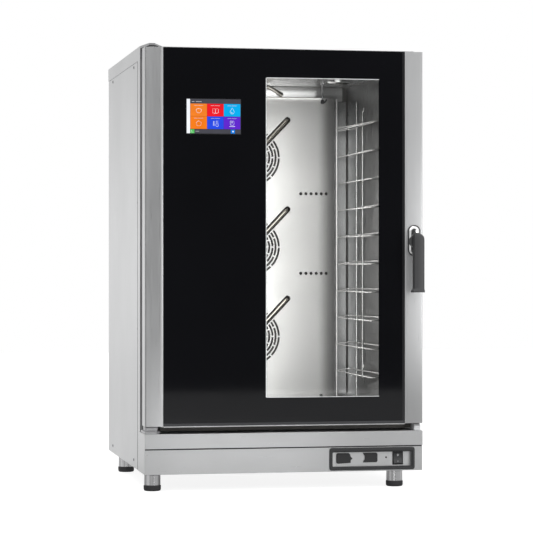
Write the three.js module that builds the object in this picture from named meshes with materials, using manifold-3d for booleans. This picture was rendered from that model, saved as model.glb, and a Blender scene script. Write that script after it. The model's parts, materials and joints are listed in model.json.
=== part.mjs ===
// A ten-level combi steamer oven on a plinth, with a glass door hinged on the left, a fan-driven
// cavity, lift-off tray racks and a recessed control strip.
//
// Millimetres, +Z up, the door faces -Y. Inside the oven group the floor is z = 0, x = 0 is the middle of
// the cabinet and y = 0 is the front plane of the closed door.

import * as THREE from 'three';
import * as BufferGeometryUtils from 'three/addons/utils/BufferGeometryUtils.js';
import ManifoldModule from 'manifold-3d';

const wasm = await ManifoldModule();
wasm.setup();

// ---------------------------------------------------------------- driving dimensions

const GAP = 0.3;
const GRID_PER_MM = 1024;
const WELD = 0.002;
const SHEET = 1.5;

const WIDTH = 780;
const HALF = WIDTH / 2;
const BODY_DEPTH = 827;
const BODY_TOP = 1221.5;
const SIDE_HALF = HALF - 0.6;
const INNER_HALF = SIDE_HALF - SHEET - GAP;

const FOOT_HEIGHT = 45;
const FOOT_X = [-365, 317];
const FOOT_Y = [33, 591];
const FOOT_TIP_R = 23.75;
const FOOT_SLEEVE_R = 22.5;
const FOOT_TIP_HEIGHT = 15;
const FOOT_STUD_R = 6;
const FOOT_STUD = 26;

const PLINTH_TOP = 155.7;
const FASCIA_SPLIT = 115.4;
const SHADOW_GAP = 3;
const LOWER_SETBACK = 5;

const FRAME_FRONT = 100;
const SIDE_FRONT = 145;
const TOP_FLANGE = 37.5;

const CAVITY_X = [-291, 327];
const CAVITY_Z = [215, 1163];
const CAVITY_MID = (CAVITY_X[0] + CAVITY_X[1]) / 2;
const CAVITY_FRONT = 105;
const CAVITY_BACK = 650;
const CAVITY_CORNER = 15;

const BAFFLE_Y = 590;
const BAFFLE_HALF = 236;
const BAFFLE_WING = 18;
const BAFFLE_Z = [223, 1125];
const VENT_ROWS = { z: [833.5, 591.6], first: 168, pitch: 15.6, count: 6, r: 5.2 };
const GRILLE = { radii: [49, 76], width: 13, arcs: 4, first: 64, pitch: 78, sweep: 68 };

const FAN_Z = { bottom: 400.9, middle: 671.4, top: 942 };
const SHAFT_R = 6;
const IMPELLER_R = 100;
const IMPELLER_Y = [604, 640];
const HEATER_R = 118;
const HEATER_ROD_R = 4.5;
const HEATER_Y = 622;
const HEATER_LEADS = [210, 222].map((angle) => THREE.MathUtils.degToRad(angle));
const MOTOR_Y = [662, 765];

const INJECTOR_ANGLE = THREE.MathUtils.degToRad(46.5);
const INJECTOR_REACH = 152;
const INJECTOR_START = 33;
const INJECTOR_R = 5;
const HEADER_Y = 676;

const RACK_LEVELS = 10;
const RACK_PITCH = 80;
const RACK_FIRST = 306;
const RACK_WIRE = 5;
const RACK_INNER = 264;
const RACK_OUTER = 297;
const RACK_POST = 302.5;
const RACK_Y = [104.5, 565];
const RACK_POST_Y = [130, 424];
const RACK_TOP = 1122;
const STUD_Z = [300, 1062];

const DOOR_Z = [176.5, 1210];
const DOOR_DEPTH = 54;
const GLASS_X = 338.7;
const GLASS_BOTTOM = 184.6;
const GLASS_THICKNESS = 5;
const SCREEN_X = [-276, -124.5];
const SCREEN_Z = [975, 1071];
const VIEW_X = [-100, 312];
const VIEW_Z = [222, 1156];
const HINGE = { x: -365, y: 30, pinR: 5 };

const HANDLE = { x: 365, z: 685, spindleR: 7 };
const GRIP_Y = [-58, -32];
const GRIP_Z = [541, 707];

const BEZEL_X = [124.5, 368];
const BEZEL_Z = [48, 110.5];
const WINDOW_X = [134, 358];
const WINDOW_Z = [58, 98];
const CONTROL_PLATE_Y = 15;
const ROCKER = { x: 322, y: 17, z: 79, width: 28, height: 33, rest: THREE.MathUtils.degToRad(-7) };
const CAPS = {
  usb_cap: { x: [146.6, 187], z: [66, 95] },
  probe_cap: { x: [222.7, 258.6], z: [68.5, 95] },
};
const INDICATOR = { x: 289, z: 81.6, r: 2.2 };

const CHIMNEY = { x: -132, y: 606, r: 30, bore: 28, top: 1266.5, flapZ: 1243 };
const DRAIN = { x: 18, y: 375, z: 95, r: 20, bore: 17.5 };
const REAR_REACH = 867;
const VALVE = { x: -300, z: 250, r: 13, reach: 32 };
const GLAND = { x: -200, z: 190, r: 9.5, reach: 24 };
const LOUVRES = { x: [-180, 180], half: 75, first: 980, pitch: 24, rows: 6, height: 8 };
const PROBE = { x: 219, y: 515, r: 2.5, bottom: 1101 };
const LAMP = { x: 255, y: 440, r: 29.5 };
const WASH_R = 5;
const WASH_Y = BAFFLE_Y - 22;

// ---------------------------------------------------------------- finishes

const FINISHES = {
  brushed: { color: 0xb9bbbc, roughness: 0.38, metalness: 1 },
  chamber: { color: 0xaeb0b0, roughness: 0.25, metalness: 1 },
  chrome: { color: 0xd4d6d8, roughness: 0.08, metalness: 1 },
  cast: { color: 0x6f7274, roughness: 0.6, metalness: 1 },
  element: { color: 0x6a6257, roughness: 0.55, metalness: 1 },
  dark: { color: 0x2c2d2f, roughness: 0.45, metalness: 0 },
  black: { color: 0x1b1b1d, roughness: 0.5, metalness: 0 },
  rubber: { color: 0x202022, roughness: 0.8, metalness: 0 },
  gasket: { color: 0x1a1a1b, roughness: 0.7, metalness: 0 },
  glass: { color: 0x101216, roughness: 0.05, metalness: 0 },
  clear: { color: 0xdfe6e8, roughness: 0.03, metalness: 0 },
  screen: { color: 0x2a6fb0, roughness: 0.2, metalness: 0 },
  wool: { color: 0xc9c2a8, roughness: 0.95, metalness: 0 },
  board: { color: 0x1f5a3a, roughness: 0.6, metalness: 0 },
  lamp: { color: 0xf2efe0, roughness: 0.1, metalness: 0 },
};

// ---------------------------------------------------------------- building blocks

// Vertices are snapped to a binary grid of about a micrometre, so faces meant to be level are exactly level.
function solidOf(geometry) {
  const bare = geometry.clone();
  bare.deleteAttribute('normal');
  bare.deleteAttribute('uv');
  const points = bare.attributes.position.array;
  points.forEach((value, i) => {
    points[i] = Math.round(value * GRID_PER_MM) / GRID_PER_MM;
  });
  const merged = BufferGeometryUtils.mergeVertices(bare, 1e-4);
  return new wasm.Manifold(new wasm.Mesh({
    numProp: 3,
    vertProperties: new Float32Array(merged.attributes.position.array),
    triVerts: new Uint32Array(merged.index.array),
  }));
}

function join(solids) {
  return solids.reduce((whole, piece) => whole.add(piece));
}

function cut(solid, tools) {
  return tools.reduce((whole, tool) => whole.subtract(tool), solid);
}

function box(x, y, z) {
  const geometry = new THREE.BoxGeometry(x[1] - x[0], y[1] - y[0], z[1] - z[0]);
  geometry.translate((x[0] + x[1]) / 2, (y[0] + y[1]) / 2, (z[0] + z[1]) / 2);
  return solidOf(geometry);
}

// A round bar between two points; the axis-aligned turns keep its flat ends exactly flat.
function rod(start, end, radius, sides = 12, endRadius = radius) {
  const from = new THREE.Vector3(...start);
  const to = new THREE.Vector3(...end);
  const along = to.clone().sub(from);
  const geometry = new THREE.CylinderGeometry(endRadius, radius, along.length(), sides);
  if (along.x === 0 && along.y === 0) {
    geometry.rotateX(Math.sign(along.z) * Math.PI / 2);
  } else if (along.y === 0 && along.z === 0) {
    geometry.rotateZ(-Math.sign(along.x) * Math.PI / 2);
  } else if (along.x === 0 && along.z === 0) {
    geometry.rotateX(along.y > 0 ? 0 : Math.PI);
  } else {
    const up = new THREE.Vector3(0, 1, 0);
    geometry.applyQuaternion(new THREE.Quaternion().setFromUnitVectors(up, along.normalize()));
  }
  geometry.translate(...from.add(to).multiplyScalar(0.5).toArray());
  return solidOf(geometry);
}

function rodY(x, z, y, radius, sides) {
  return rod([x, y[0], z], [x, y[1], z], radius, sides);
}

function rodZ(x, y, z, radius, sides) {
  return rod([x, y, z[0]], [x, y, z[1]], radius, sides);
}

// Cutting tools for round holes: they run 1 mm past both faces, and their flats clear the stated radius.
function holeY(x, z, y, radius, sides = 12) {
  return rodY(x, z, widen(y, 1), radius / Math.cos(Math.PI / sides), sides);
}

function holeZ(x, y, z, radius, sides = 12) {
  return rodZ(x, y, widen(z, 1), radius / Math.cos(Math.PI / sides), sides);
}

// A turned piece: the profile lists [radius, height] from the axis and back to the axis, height along +Z.
function turned(profile, sides) {
  const points = profile.map(([r, h]) => new THREE.Vector2(r, h));
  const geometry = new THREE.LatheGeometry(points, sides);
  geometry.rotateX(Math.PI / 2);
  return solidOf(geometry);
}

function roundedRect(x, z, r = 0) {
  const shape = new THREE.Shape();
  if (r === 0) {
    shape.moveTo(x[0], z[0]).lineTo(x[1], z[0]).lineTo(x[1], z[1]).lineTo(x[0], z[1]);
    return shape;
  }
  shape.absarc(x[1] - r, z[0] + r, r, -Math.PI / 2, 0);
  shape.absarc(x[1] - r, z[1] - r, r, 0, Math.PI / 2);
  shape.absarc(x[0] + r, z[1] - r, r, Math.PI / 2, Math.PI);
  shape.absarc(x[0] + r, z[0] + r, r, Math.PI, 1.5 * Math.PI);
  return shape;
}

function outline(points) {
  return new THREE.Shape(points.map(([a, b]) => new THREE.Vector2(a, b)));
}

// Shape in x and z, thickness along y.
function slabXZ(shape, y, curveSegments = 2) {
  const geometry = new THREE.ExtrudeGeometry(shape, {
    depth: y[1] - y[0], bevelEnabled: false, curveSegments,
  });
  geometry.rotateX(Math.PI / 2);
  geometry.translate(0, y[1], 0);
  return solidOf(geometry);
}

// Shape in x and y, height along z.
function prismXY(shape, z, curveSegments = 2) {
  const geometry = new THREE.ExtrudeGeometry(shape, {
    depth: z[1] - z[0], bevelEnabled: false, curveSegments,
  });
  geometry.translate(0, 0, z[0]);
  return solidOf(geometry);
}

// Shape in y and z, length along x.
function barYZ(shape, x, curveSegments = 2) {
  const geometry = new THREE.ExtrudeGeometry(shape, {
    depth: x[1] - x[0], bevelEnabled: false, curveSegments,
  });
  const axes = [new THREE.Vector3(0, 1, 0), new THREE.Vector3(0, 0, 1), new THREE.Vector3(1, 0, 0)];
  geometry.applyMatrix4(new THREE.Matrix4().makeBasis(...axes));
  geometry.translate(x[0], 0, 0);
  return solidOf(geometry);
}

function ringXZ(outerX, outerZ, innerX, innerZ, y, outerR = 0, innerR = 0) {
  const shape = roundedRect(outerX, outerZ, outerR);
  shape.holes.push(roundedRect(innerX, innerZ, innerR));
  return slabXZ(shape, y);
}

// A round section swept along straight runs whose corners are rounded by a bend radius.
function pipe(points, radius, bend, { sides = 8, steps = 16, bore = 0 } = {}) {
  const corners = points.map((p) => new THREE.Vector3(...p));
  const path = new THREE.CurvePath();
  let from = corners[0];
  for (let i = 1; i < corners.length - 1; i += 1) {
    const back = corners[i - 1].clone().sub(corners[i]).setLength(bend).add(corners[i]);
    const ahead = corners[i + 1].clone().sub(corners[i]).setLength(bend).add(corners[i]);
    path.add(new THREE.LineCurve3(from, back));
    path.add(new THREE.QuadraticBezierCurve3(back, corners[i], ahead));
    from = ahead;
  }
  path.add(new THREE.LineCurve3(from, corners[corners.length - 1]));
  const section = new THREE.Shape();
  section.absarc(0, 0, radius, 0, 2 * Math.PI);
  if (bore > 0) {
    section.holes.push(new THREE.Path().absarc(0, 0, bore, 0, 2 * Math.PI));
  }
  return solidOf(new THREE.ExtrudeGeometry(section, {
    extrudePath: path, steps, curveSegments: sides / 2, bevelEnabled: false,
  }));
}

function widen(range, by) {
  return [range[0] - by, range[1] + by];
}

function mirrorRange(range) {
  return [-range[1], -range[0]];
}

const usedNames = new Set();

function addPart(group, name, solid, finish) {
  if (usedNames.has(name)) {
    throw new Error(`two parts are named ${name}`);
  }
  usedNames.add(name);
  const data = solid.asOriginal().simplify(WELD).getMesh();
  const geometry = new THREE.BufferGeometry();
  geometry.setAttribute('position', new THREE.BufferAttribute(new Float32Array(data.vertProperties), 3));
  geometry.setIndex(new THREE.BufferAttribute(new Uint32Array(data.triVerts), 1));
  geometry.computeVertexNormals();
  const mesh = new THREE.Mesh(geometry, new THREE.MeshStandardMaterial(FINISHES[finish]));
  mesh.name = name;
  group.add(mesh);
  return mesh;
}

// ---------------------------------------------------------------- plinth and casing

function foot() {
  return turned([
    [0, 0], [FOOT_TIP_R - 3, 0], [FOOT_TIP_R, 4], [FOOT_TIP_R, FOOT_TIP_HEIGHT], [FOOT_SLEEVE_R, FOOT_TIP_HEIGHT],
    [FOOT_SLEEVE_R, FOOT_HEIGHT - GAP], [FOOT_STUD_R, FOOT_HEIGHT - GAP], [FOOT_STUD_R, FOOT_HEIGHT + FOOT_STUD],
    [0, FOOT_HEIGHT + FOOT_STUD],
  ], 16);
}

function baseTray() {
  const wall = 2;
  const outerY = [LOWER_SETBACK + SHEET + 0.5, BODY_DEPTH - 3];
  const z = [FOOT_HEIGHT, PLINTH_TOP - SHEET - GAP];
  const shell = box([-INNER_HALF, INNER_HALF], outerY, z);
  const hollow = box(widen([-INNER_HALF, INNER_HALF], -wall), widen(outerY, -wall), [z[0] + wall, z[1] + 1]);
  const floor = [z[0], z[0] + wall];
  const studs = FOOT_X.flatMap((x) => FOOT_Y.map((y) => holeZ(x, y, floor, FOOT_STUD_R + 0.4)));
  const controlNotch = box(widen(BEZEL_X, -2), [0, outerY[0] + wall + 1], [z[0] + wall, z[1] + 1]);
  const drainHole = holeY(DRAIN.x, DRAIN.z, [outerY[1] - wall, outerY[1]], DRAIN.r + 0.5);
  return cut(shell, [hollow, ...studs, controlNotch, drainHole]);
}

function upperFascia() {
  const z = [FASCIA_SPLIT, PLINTH_TOP];
  const sideY = [0, SIDE_FRONT - GAP];
  return join([
    box([-HALF, HALF], [0, SHEET], z),
    box([-HALF, HALF], sideY, [PLINTH_TOP - SHEET, PLINTH_TOP]),
    box([-HALF, -HALF + SHEET], sideY, z),
    box([HALF - SHEET, HALF], sideY, z),
    box([-HALF, HALF], [0, LOWER_SETBACK], [FASCIA_SPLIT, FASCIA_SPLIT + SHEET]),
  ]);
}

function lowerFascia() {
  const z = [FOOT_HEIGHT, FASCIA_SPLIT - SHADOW_GAP];
  const y = [LOWER_SETBACK, LOWER_SETBACK + SHEET];
  const sideY = [LOWER_SETBACK, SIDE_FRONT - GAP];
  const opening = box(widen(BEZEL_X, -2), widen(y, 1), widen(BEZEL_Z, -2));
  return cut(join([
    box([-HALF, HALF], y, z),
    box([-HALF, -HALF + SHEET], sideY, z),
    box([HALF - SHEET, HALF], sideY, z),
  ]), [opening]);
}

function sidePanel(side) {
  const x = side < 0 ? [-SIDE_HALF, -SIDE_HALF + SHEET] : [SIDE_HALF - SHEET, SIDE_HALF];
  return box(x, [SIDE_FRONT, BODY_DEPTH], [FOOT_HEIGHT, BODY_TOP - TOP_FLANGE]);
}

function topCover() {
  const y = [SIDE_FRONT, BODY_DEPTH];
  const flangeZ = [BODY_TOP - TOP_FLANGE + GAP, BODY_TOP];
  const skin = join([
    box([-HALF, HALF], y, [BODY_TOP - SHEET, BODY_TOP]),
    box([-HALF, -HALF + SHEET], y, flangeZ),
    box([HALF - SHEET, HALF], y, flangeZ),
  ]);
  return cut(skin, [holeZ(CHIMNEY.x, CHIMNEY.y, [BODY_TOP - SHEET, BODY_TOP], CHIMNEY.r + 1, 20)]);
}

function rearPanel() {
  const y = [BODY_DEPTH - SHEET, BODY_DEPTH];
  const skin = box([-INNER_HALF, INNER_HALF], y, [FOOT_HEIGHT, BODY_TOP - SHEET - GAP]);
  const louvres = [];
  for (const x of LOUVRES.x) {
    for (let row = 0; row < LOUVRES.rows; row += 1) {
      const z = LOUVRES.first + row * LOUVRES.pitch;
      louvres.push(box(widen([x, x], LOUVRES.half), widen(y, 1), [z, z + LOUVRES.height]));
    }
  }
  return cut(skin, [
    holeY(DRAIN.x, DRAIN.z, y, DRAIN.r + 0.5),
    holeY(VALVE.x, VALVE.z, y, VALVE.r + 0.4),
    holeY(GLAND.x, GLAND.z, y, GLAND.r + 0.4),
    ...louvres,
  ]);
}

function frontFrame() {
  const z = [PLINTH_TOP + GAP, BODY_TOP];
  const back = SIDE_FRONT - GAP;
  const shell = box([-HALF, HALF], [FRAME_FRONT, back], z);
  const hollow = box(widen([-HALF, HALF], -SHEET), [FRAME_FRONT + SHEET, back + 1], widen(z, -SHEET));
  const lipY = [FRAME_FRONT, CAVITY_FRONT - GAP];
  const lip = slabXZ(roundedRect(widen(CAVITY_X, SHEET), widen(CAVITY_Z, SHEET), CAVITY_CORNER), lipY);
  const mouth = slabXZ(roundedRect(CAVITY_X, CAVITY_Z, CAVITY_CORNER), widen(lipY, 1));
  return cut(join([cut(shell, [hollow]), lip]), [mouth]);
}

// ---------------------------------------------------------------- cavity

function rackStuds() {
  const studs = [];
  for (const side of [-1, 1]) {
    const wall = CAVITY_MID + side * (CAVITY_X[1] - CAVITY_MID + 0.5);
    const tip = CAVITY_MID + side * (RACK_POST + 3.5);
    for (const y of RACK_POST_Y) {
      for (const z of STUD_Z) {
        studs.push(rod([wall, y, z], [tip, y, z], 4, 8));
      }
    }
  }
  return studs;
}

function cavityWrap() {
  const y = [CAVITY_FRONT, CAVITY_BACK + 2];
  const wrap = ringXZ(
    widen(CAVITY_X, SHEET), widen(CAVITY_Z, SHEET), CAVITY_X, CAVITY_Z, y, CAVITY_CORNER + SHEET, CAVITY_CORNER,
  );
  const ceiling = [CAVITY_Z[1], CAVITY_Z[1] + SHEET];
  const floor = [CAVITY_Z[0] - SHEET, CAVITY_Z[0]];
  return cut(join([wrap, ...rackStuds()]), [
    holeZ(DRAIN.x, DRAIN.y, floor, DRAIN.r + 0.5),
    holeZ(LAMP.x, LAMP.y, ceiling, LAMP.r + 0.5, 16),
    holeZ(PROBE.x, PROBE.y, ceiling, PROBE.r + 0.4, 8),
    holeZ(CAVITY_MID, WASH_Y, ceiling, WASH_R + 0.5, 8),
    holeZ(CHIMNEY.x, CHIMNEY.y, ceiling, CHIMNEY.r + 0.4, 20),
  ]);
}

function injectorEnd(z) {
  return [
    CAVITY_MID + INJECTOR_REACH * Math.cos(INJECTOR_ANGLE),
    z + INJECTOR_REACH * Math.sin(INJECTOR_ANGLE),
  ];
}

function heaterLead(angle) {
  return [CAVITY_MID + HEATER_R * Math.cos(angle), HEATER_R * Math.sin(angle)];
}

function cavityBack() {
  const y = [CAVITY_BACK, CAVITY_BACK + SHEET];
  const plate = slabXZ(roundedRect(widen(CAVITY_X, -GAP), widen(CAVITY_Z, -GAP), CAVITY_CORNER - GAP), y);
  const holes = Object.values(FAN_Z).flatMap((z) => {
    const [injectorX, injectorZ] = injectorEnd(z);
    return [
      holeY(CAVITY_MID, z, y, SHAFT_R + 2),
      holeY(injectorX, injectorZ, y, INJECTOR_R + 0.8, 8),
      ...HEATER_LEADS.map((angle) => {
        const [x, dz] = heaterLead(angle);
        return holeY(x, z + dz, y, HEATER_ROD_R + 0.6, 8);
      }),
    ];
  });
  return cut(plate, holes);
}

// One arc-shaped slot of a fan grille, between two angles in degrees.
function arcSlot(z, radius, width, from, to) {
  const [a, b] = [from, to].map((angle) => THREE.MathUtils.degToRad(angle));
  const shape = new THREE.Shape();
  shape.absarc(CAVITY_MID, z, radius + width / 2, a, b, false);
  shape.absarc(CAVITY_MID, z, radius - width / 2, b, a, true);
  return slabXZ(shape, [BAFFLE_Y - 10, BAFFLE_Y + 5], 2);
}

// The slot that the water injector lies in, from near the hub outwards.
function injectorSlot(z) {
  const half = 9.2;
  const shape = new THREE.Shape();
  for (const [reach, turn] of [[INJECTOR_REACH, -Math.PI / 2], [INJECTOR_START, Math.PI / 2]]) {
    const [x, up] = [Math.cos(INJECTOR_ANGLE) * reach, Math.sin(INJECTOR_ANGLE) * reach];
    shape.absarc(CAVITY_MID + x, z + up, half, INJECTOR_ANGLE + turn, INJECTOR_ANGLE + turn + Math.PI);
  }
  return slabXZ(shape, [BAFFLE_Y - 10, BAFFLE_Y + 5], 3);
}

function fanBaffle() {
  const inner = [CAVITY_MID - BAFFLE_HALF, CAVITY_MID + BAFFLE_HALF];
  const outer = widen(inner, BAFFLE_WING);
  const back = CAVITY_BACK - GAP;
  const front = BAFFLE_Y - SHEET;
  const sheet = prismXY(outline([
    [outer[0], back], [inner[0] + 0.5, BAFFLE_Y], [inner[1] - 0.5, BAFFLE_Y], [outer[1], back],
    [outer[1] + SHEET, back], [inner[1], front], [inner[0], front], [outer[0] - SHEET, back],
  ]), BAFFLE_Z);
  const slots = [];
  for (const z of Object.values(FAN_Z)) {
    for (const radius of GRILLE.radii) {
      for (let arc = 0; arc < GRILLE.arcs; arc += 1) {
        const start = GRILLE.first + arc * GRILLE.pitch;
        slots.push(arcSlot(z, radius, GRILLE.width, start, start + GRILLE.sweep));
      }
    }
    slots.push(injectorSlot(z));
  }
  for (const z of VENT_ROWS.z) {
    for (let hole = 0; hole < VENT_ROWS.count; hole += 1) {
      slots.push(holeY(VENT_ROWS.first + hole * VENT_ROWS.pitch, z, [front, BAFFLE_Y], VENT_ROWS.r, 6));
    }
  }
  return cut(sheet, slots);
}

function insulation() {
  const thickness = 30;
  const inside = widen(CAVITY_X, SHEET + GAP);
  const outside = widen(inside, thickness);
  const under = CAVITY_Z[1] + SHEET + GAP;
  const top = under + thickness;
  const blanket = slabXZ(outline([
    [outside[0], CAVITY_Z[0]], [inside[0], CAVITY_Z[0]], [inside[0], under], [inside[1], under],
    [inside[1], CAVITY_Z[0]], [outside[1], CAVITY_Z[0]], [outside[1], top], [outside[0], top],
  ]), [CAVITY_FRONT + 45, CAVITY_BACK - 5]);
  const through = [under, top];
  return cut(blanket, [
    holeZ(LAMP.x, LAMP.y, through, LAMP.r + 1),
    holeZ(PROBE.x, PROBE.y, through, PROBE.r + 1, 8),
    holeZ(CAVITY_MID, WASH_Y, through, WASH_R + 1, 8),
    holeZ(CHIMNEY.x, CHIMNEY.y, through, CHIMNEY.r + 1, 16),
  ]);
}

function cavityLamp() {
  const under = CAVITY_Z[1] - GAP;
  return turned([
    [0, under - 12], [18, under - 11], [30, under - 5], [38, under - 4], [38, under],
    [LAMP.r, under], [LAMP.r, under + 36], [0, under + 36],
  ], 20);
}

function cavityProbe() {
  const { x, y, r, bottom } = PROBE;
  return join([
    rodZ(x, y, [bottom + 8, CAVITY_Z[1] + 40], r, 8),
    rodZ(x, y, [bottom, bottom + 12], 6, 12),
    rodZ(x, y, [CAVITY_Z[1] - 6, CAVITY_Z[1] - GAP], 8, 12),
    rod([x, y, bottom + 4], [x + 13, y, bottom + 14], 2.6, 8),
  ]);
}

function washArm() {
  const y = WASH_Y;
  const ceiling = CAVITY_Z[1];
  const arm = pipe(
    [[CAVITY_MID, y, ceiling + 40], [CAVITY_MID, y, ceiling - 9], [66, y, ceiling - 9], [106, y, ceiling - 31]],
    WASH_R, 7, { steps: 20 },
  );
  const nozzle = rod([99, y, ceiling - 27.2], [116, y, ceiling - 36.5], 6.5, 12);
  return join([arm, nozzle]);
}

function waterManifold() {
  const branches = Object.values(FAN_Z).map((z) => {
    const [x, outerZ] = injectorEnd(z);
    const innerX = CAVITY_MID + INJECTOR_START * Math.cos(INJECTOR_ANGLE);
    const innerZ = z + INJECTOR_START * Math.sin(INJECTOR_ANGLE);
    const y = BAFFLE_Y - SHEET / 2;
    return pipe([[innerX, y, innerZ], [x, y, outerZ], [x, HEADER_Y, outerZ]], INJECTOR_R, 12, { steps: 10 });
  });
  const [headerX, topZ] = injectorEnd(FAN_Z.top);
  const [, bottomZ] = injectorEnd(FAN_Z.bottom);
  return join([rodZ(headerX, HEADER_Y, [bottomZ - 60, topZ + 20], 8, 12), ...branches]);
}

function drainPipe() {
  const floor = CAVITY_Z[0];
  const run = pipe(
    [[DRAIN.x, DRAIN.y, floor + 2], [DRAIN.x, DRAIN.y, DRAIN.z], [DRAIN.x, REAR_REACH, DRAIN.z]],
    DRAIN.r, 30, { sides: 10, steps: 8, bore: DRAIN.bore },
  );
  const rim = cut(
    rodZ(DRAIN.x, DRAIN.y, [floor + GAP, floor + 2], 32, 20),
    [holeZ(DRAIN.x, DRAIN.y, [floor, floor + 2], DRAIN.r - 1.5, 10)],
  );
  return join([run, rim]);
}

// ---------------------------------------------------------------- fans, heaters and services

// A flat strip on edge between two points given as [radius, angle in degrees].
function strip(from, to, thickness, y) {
  const [a, b] = [from, to].map(([radius, angle]) => new THREE.Vector2(radius, 0).rotateAround(
    new THREE.Vector2(), THREE.MathUtils.degToRad(angle),
  ));
  const side = b.clone().sub(a).setLength(thickness / 2).rotateAround(new THREE.Vector2(), Math.PI / 2);
  return slabXZ(new THREE.Shape([
    a.clone().sub(side), b.clone().sub(side), b.clone().add(side), a.clone().add(side),
  ]), y);
}

function impeller() {
  const blades = [];
  for (let i = 0; i < 12; i += 1) {
    const angle = i * 30;
    blades.push(strip([58, angle], [IMPELLER_R, angle + 24], 1.6, [IMPELLER_Y[0], IMPELLER_Y[1] - 1]));
  }
  const disc = rodY(0, 0, [IMPELLER_Y[1] - 2, IMPELLER_Y[1]], IMPELLER_R + 6, 24);
  const hub = rodY(0, 0, [IMPELLER_Y[0] + 6, IMPELLER_Y[1] - 1], 15, 12);
  const shaft = rodY(0, 0, [IMPELLER_Y[0] + 2, MOTOR_Y[1] - 24], SHAFT_R, 12);
  return join([disc, hub, shaft, ...blades]);
}

function fanMotor() {
  const [front, back] = MOTOR_Y;
  const flange = slabXZ(roundedRect([-60, 60], [-60, 60], 12), [front, front + 4]);
  const can = rodY(0, 0, [front + 3, back], 50, 20);
  const terminal = box([-25, 25], [front + 30, back - 20], [40, 68]);
  const bore = holeY(0, 0, [front, back - 20], SHAFT_R + 0.4, 16);
  return cut(join([flange, can, terminal]), [bore]);
}

function heatingElement() {
  const ring = new THREE.TorusGeometry(HEATER_R, HEATER_ROD_R, 6, 20);
  ring.rotateX(Math.PI / 2);
  ring.translate(0, HEATER_Y, 0);
  const leads = HEATER_LEADS.map((angle) => {
    const [x, z] = heaterLead(angle);
    return rodY(x - CAVITY_MID, z, [HEATER_Y, MOTOR_Y[0] + 14], HEATER_ROD_R - 0.5, 6);
  });
  return join([solidOf(ring), ...leads]);
}

function waterInletValve() {
  return join([
    box([VALVE.x - 20, VALVE.x + 20], [BODY_DEPTH - 50, BODY_DEPTH - 6], [VALVE.z - 22, VALVE.z + 22]),
    box([VALVE.x - 14, VALVE.x + 14], [BODY_DEPTH - 42, BODY_DEPTH - 14], [VALVE.z + 20, VALVE.z + 62]),
    rodY(VALVE.x, VALVE.z, [BODY_DEPTH - 8, BODY_DEPTH + VALVE.reach], VALVE.r, 20),
  ]);
}

function cableGland() {
  const back = BODY_DEPTH;
  const body = join([
    rodY(GLAND.x, GLAND.z, [back - 12, back + 2], GLAND.r, 16),
    rodY(GLAND.x, GLAND.z, [back - 10, back - 4], 14, 6),
    rodY(GLAND.x, GLAND.z, [back + GAP, back + 8], 15, 6),
    rod([GLAND.x, back + 7, GLAND.z], [GLAND.x, back + GLAND.reach, GLAND.z], 12, 16, 9),
  ]);
  return cut(body, [holeY(GLAND.x, GLAND.z, [back - 12, back + GLAND.reach], 6)]);
}

function controlBoard() {
  const x = -SIDE_HALF + SHEET + 8;
  return join([
    box([x, x + 2], [300, 560], [480, 860]),
    box([x + 1, x + 34], [320, 400], [520, 610]),
    box([x + 1, x + 26], [430, 530], [520, 570]),
    box([x + 1, x + 18], [330, 420], [700, 800]),
    box([x + 1, x + 30], [460, 530], [720, 830]),
  ]);
}

function chimney() {
  const tube = rodZ(CHIMNEY.x, CHIMNEY.y, [CAVITY_Z[1] - 2, CHIMNEY.top], CHIMNEY.r, 24);
  const bore = rodZ(CHIMNEY.x, CHIMNEY.y, [CAVITY_Z[1] - 3, CHIMNEY.top + 1], CHIMNEY.bore, 24);
  const spindleHole = rod(
    [CHIMNEY.x - 40, CHIMNEY.y, CHIMNEY.flapZ], [CHIMNEY.x + 40, CHIMNEY.y, CHIMNEY.flapZ], 3.1, 12,
  );
  return cut(tube, [bore, spindleHole]);
}

function ventFlap() {
  const { x, y, flapZ } = CHIMNEY;
  return join([
    rodZ(x, y, widen([flapZ, flapZ], 1), CHIMNEY.bore - 1.2, 24),
    rod([x - 33, y, flapZ], [x + 40, y, flapZ], 2.6, 12),
    rod([x + 34, y, flapZ], [x + 41, y, flapZ], 8, 16),
    box([x + 35, x + 39], [y - 22, y], [flapZ - 3, flapZ + 3]),
  ]);
}

// ---------------------------------------------------------------- door

function doorStileLeft() {
  const profile = outline([
    [-HALF, 0], [-GLASS_X - 0.6, 0], [-GLASS_X - 0.6, SHEET], [-HALF + SHEET, SHEET],
    [-HALF + SHEET, DOOR_DEPTH - SHEET], [-GLASS_X - 8, DOOR_DEPTH - SHEET], [-GLASS_X - 8, DOOR_DEPTH],
    [-HALF, DOOR_DEPTH],
  ]);
  return prismXY(profile, DOOR_Z);
}

function doorStileRight() {
  const profile = outline([
    [HALF, 0], [HALF, DOOR_DEPTH], [GLASS_X + 8, DOOR_DEPTH], [GLASS_X + 8, DOOR_DEPTH - SHEET],
    [HALF - SHEET, DOOR_DEPTH - SHEET], [HALF - SHEET, SHEET], [GLASS_X + 0.6, SHEET], [GLASS_X + 0.6, 0],
  ]);
  const spindle = holeY(HANDLE.x, HANDLE.z, [0, DOOR_DEPTH], HANDLE.spindleR + 0.5, 16);
  return cut(prismXY(profile, DOOR_Z), [spindle]);
}

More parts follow.
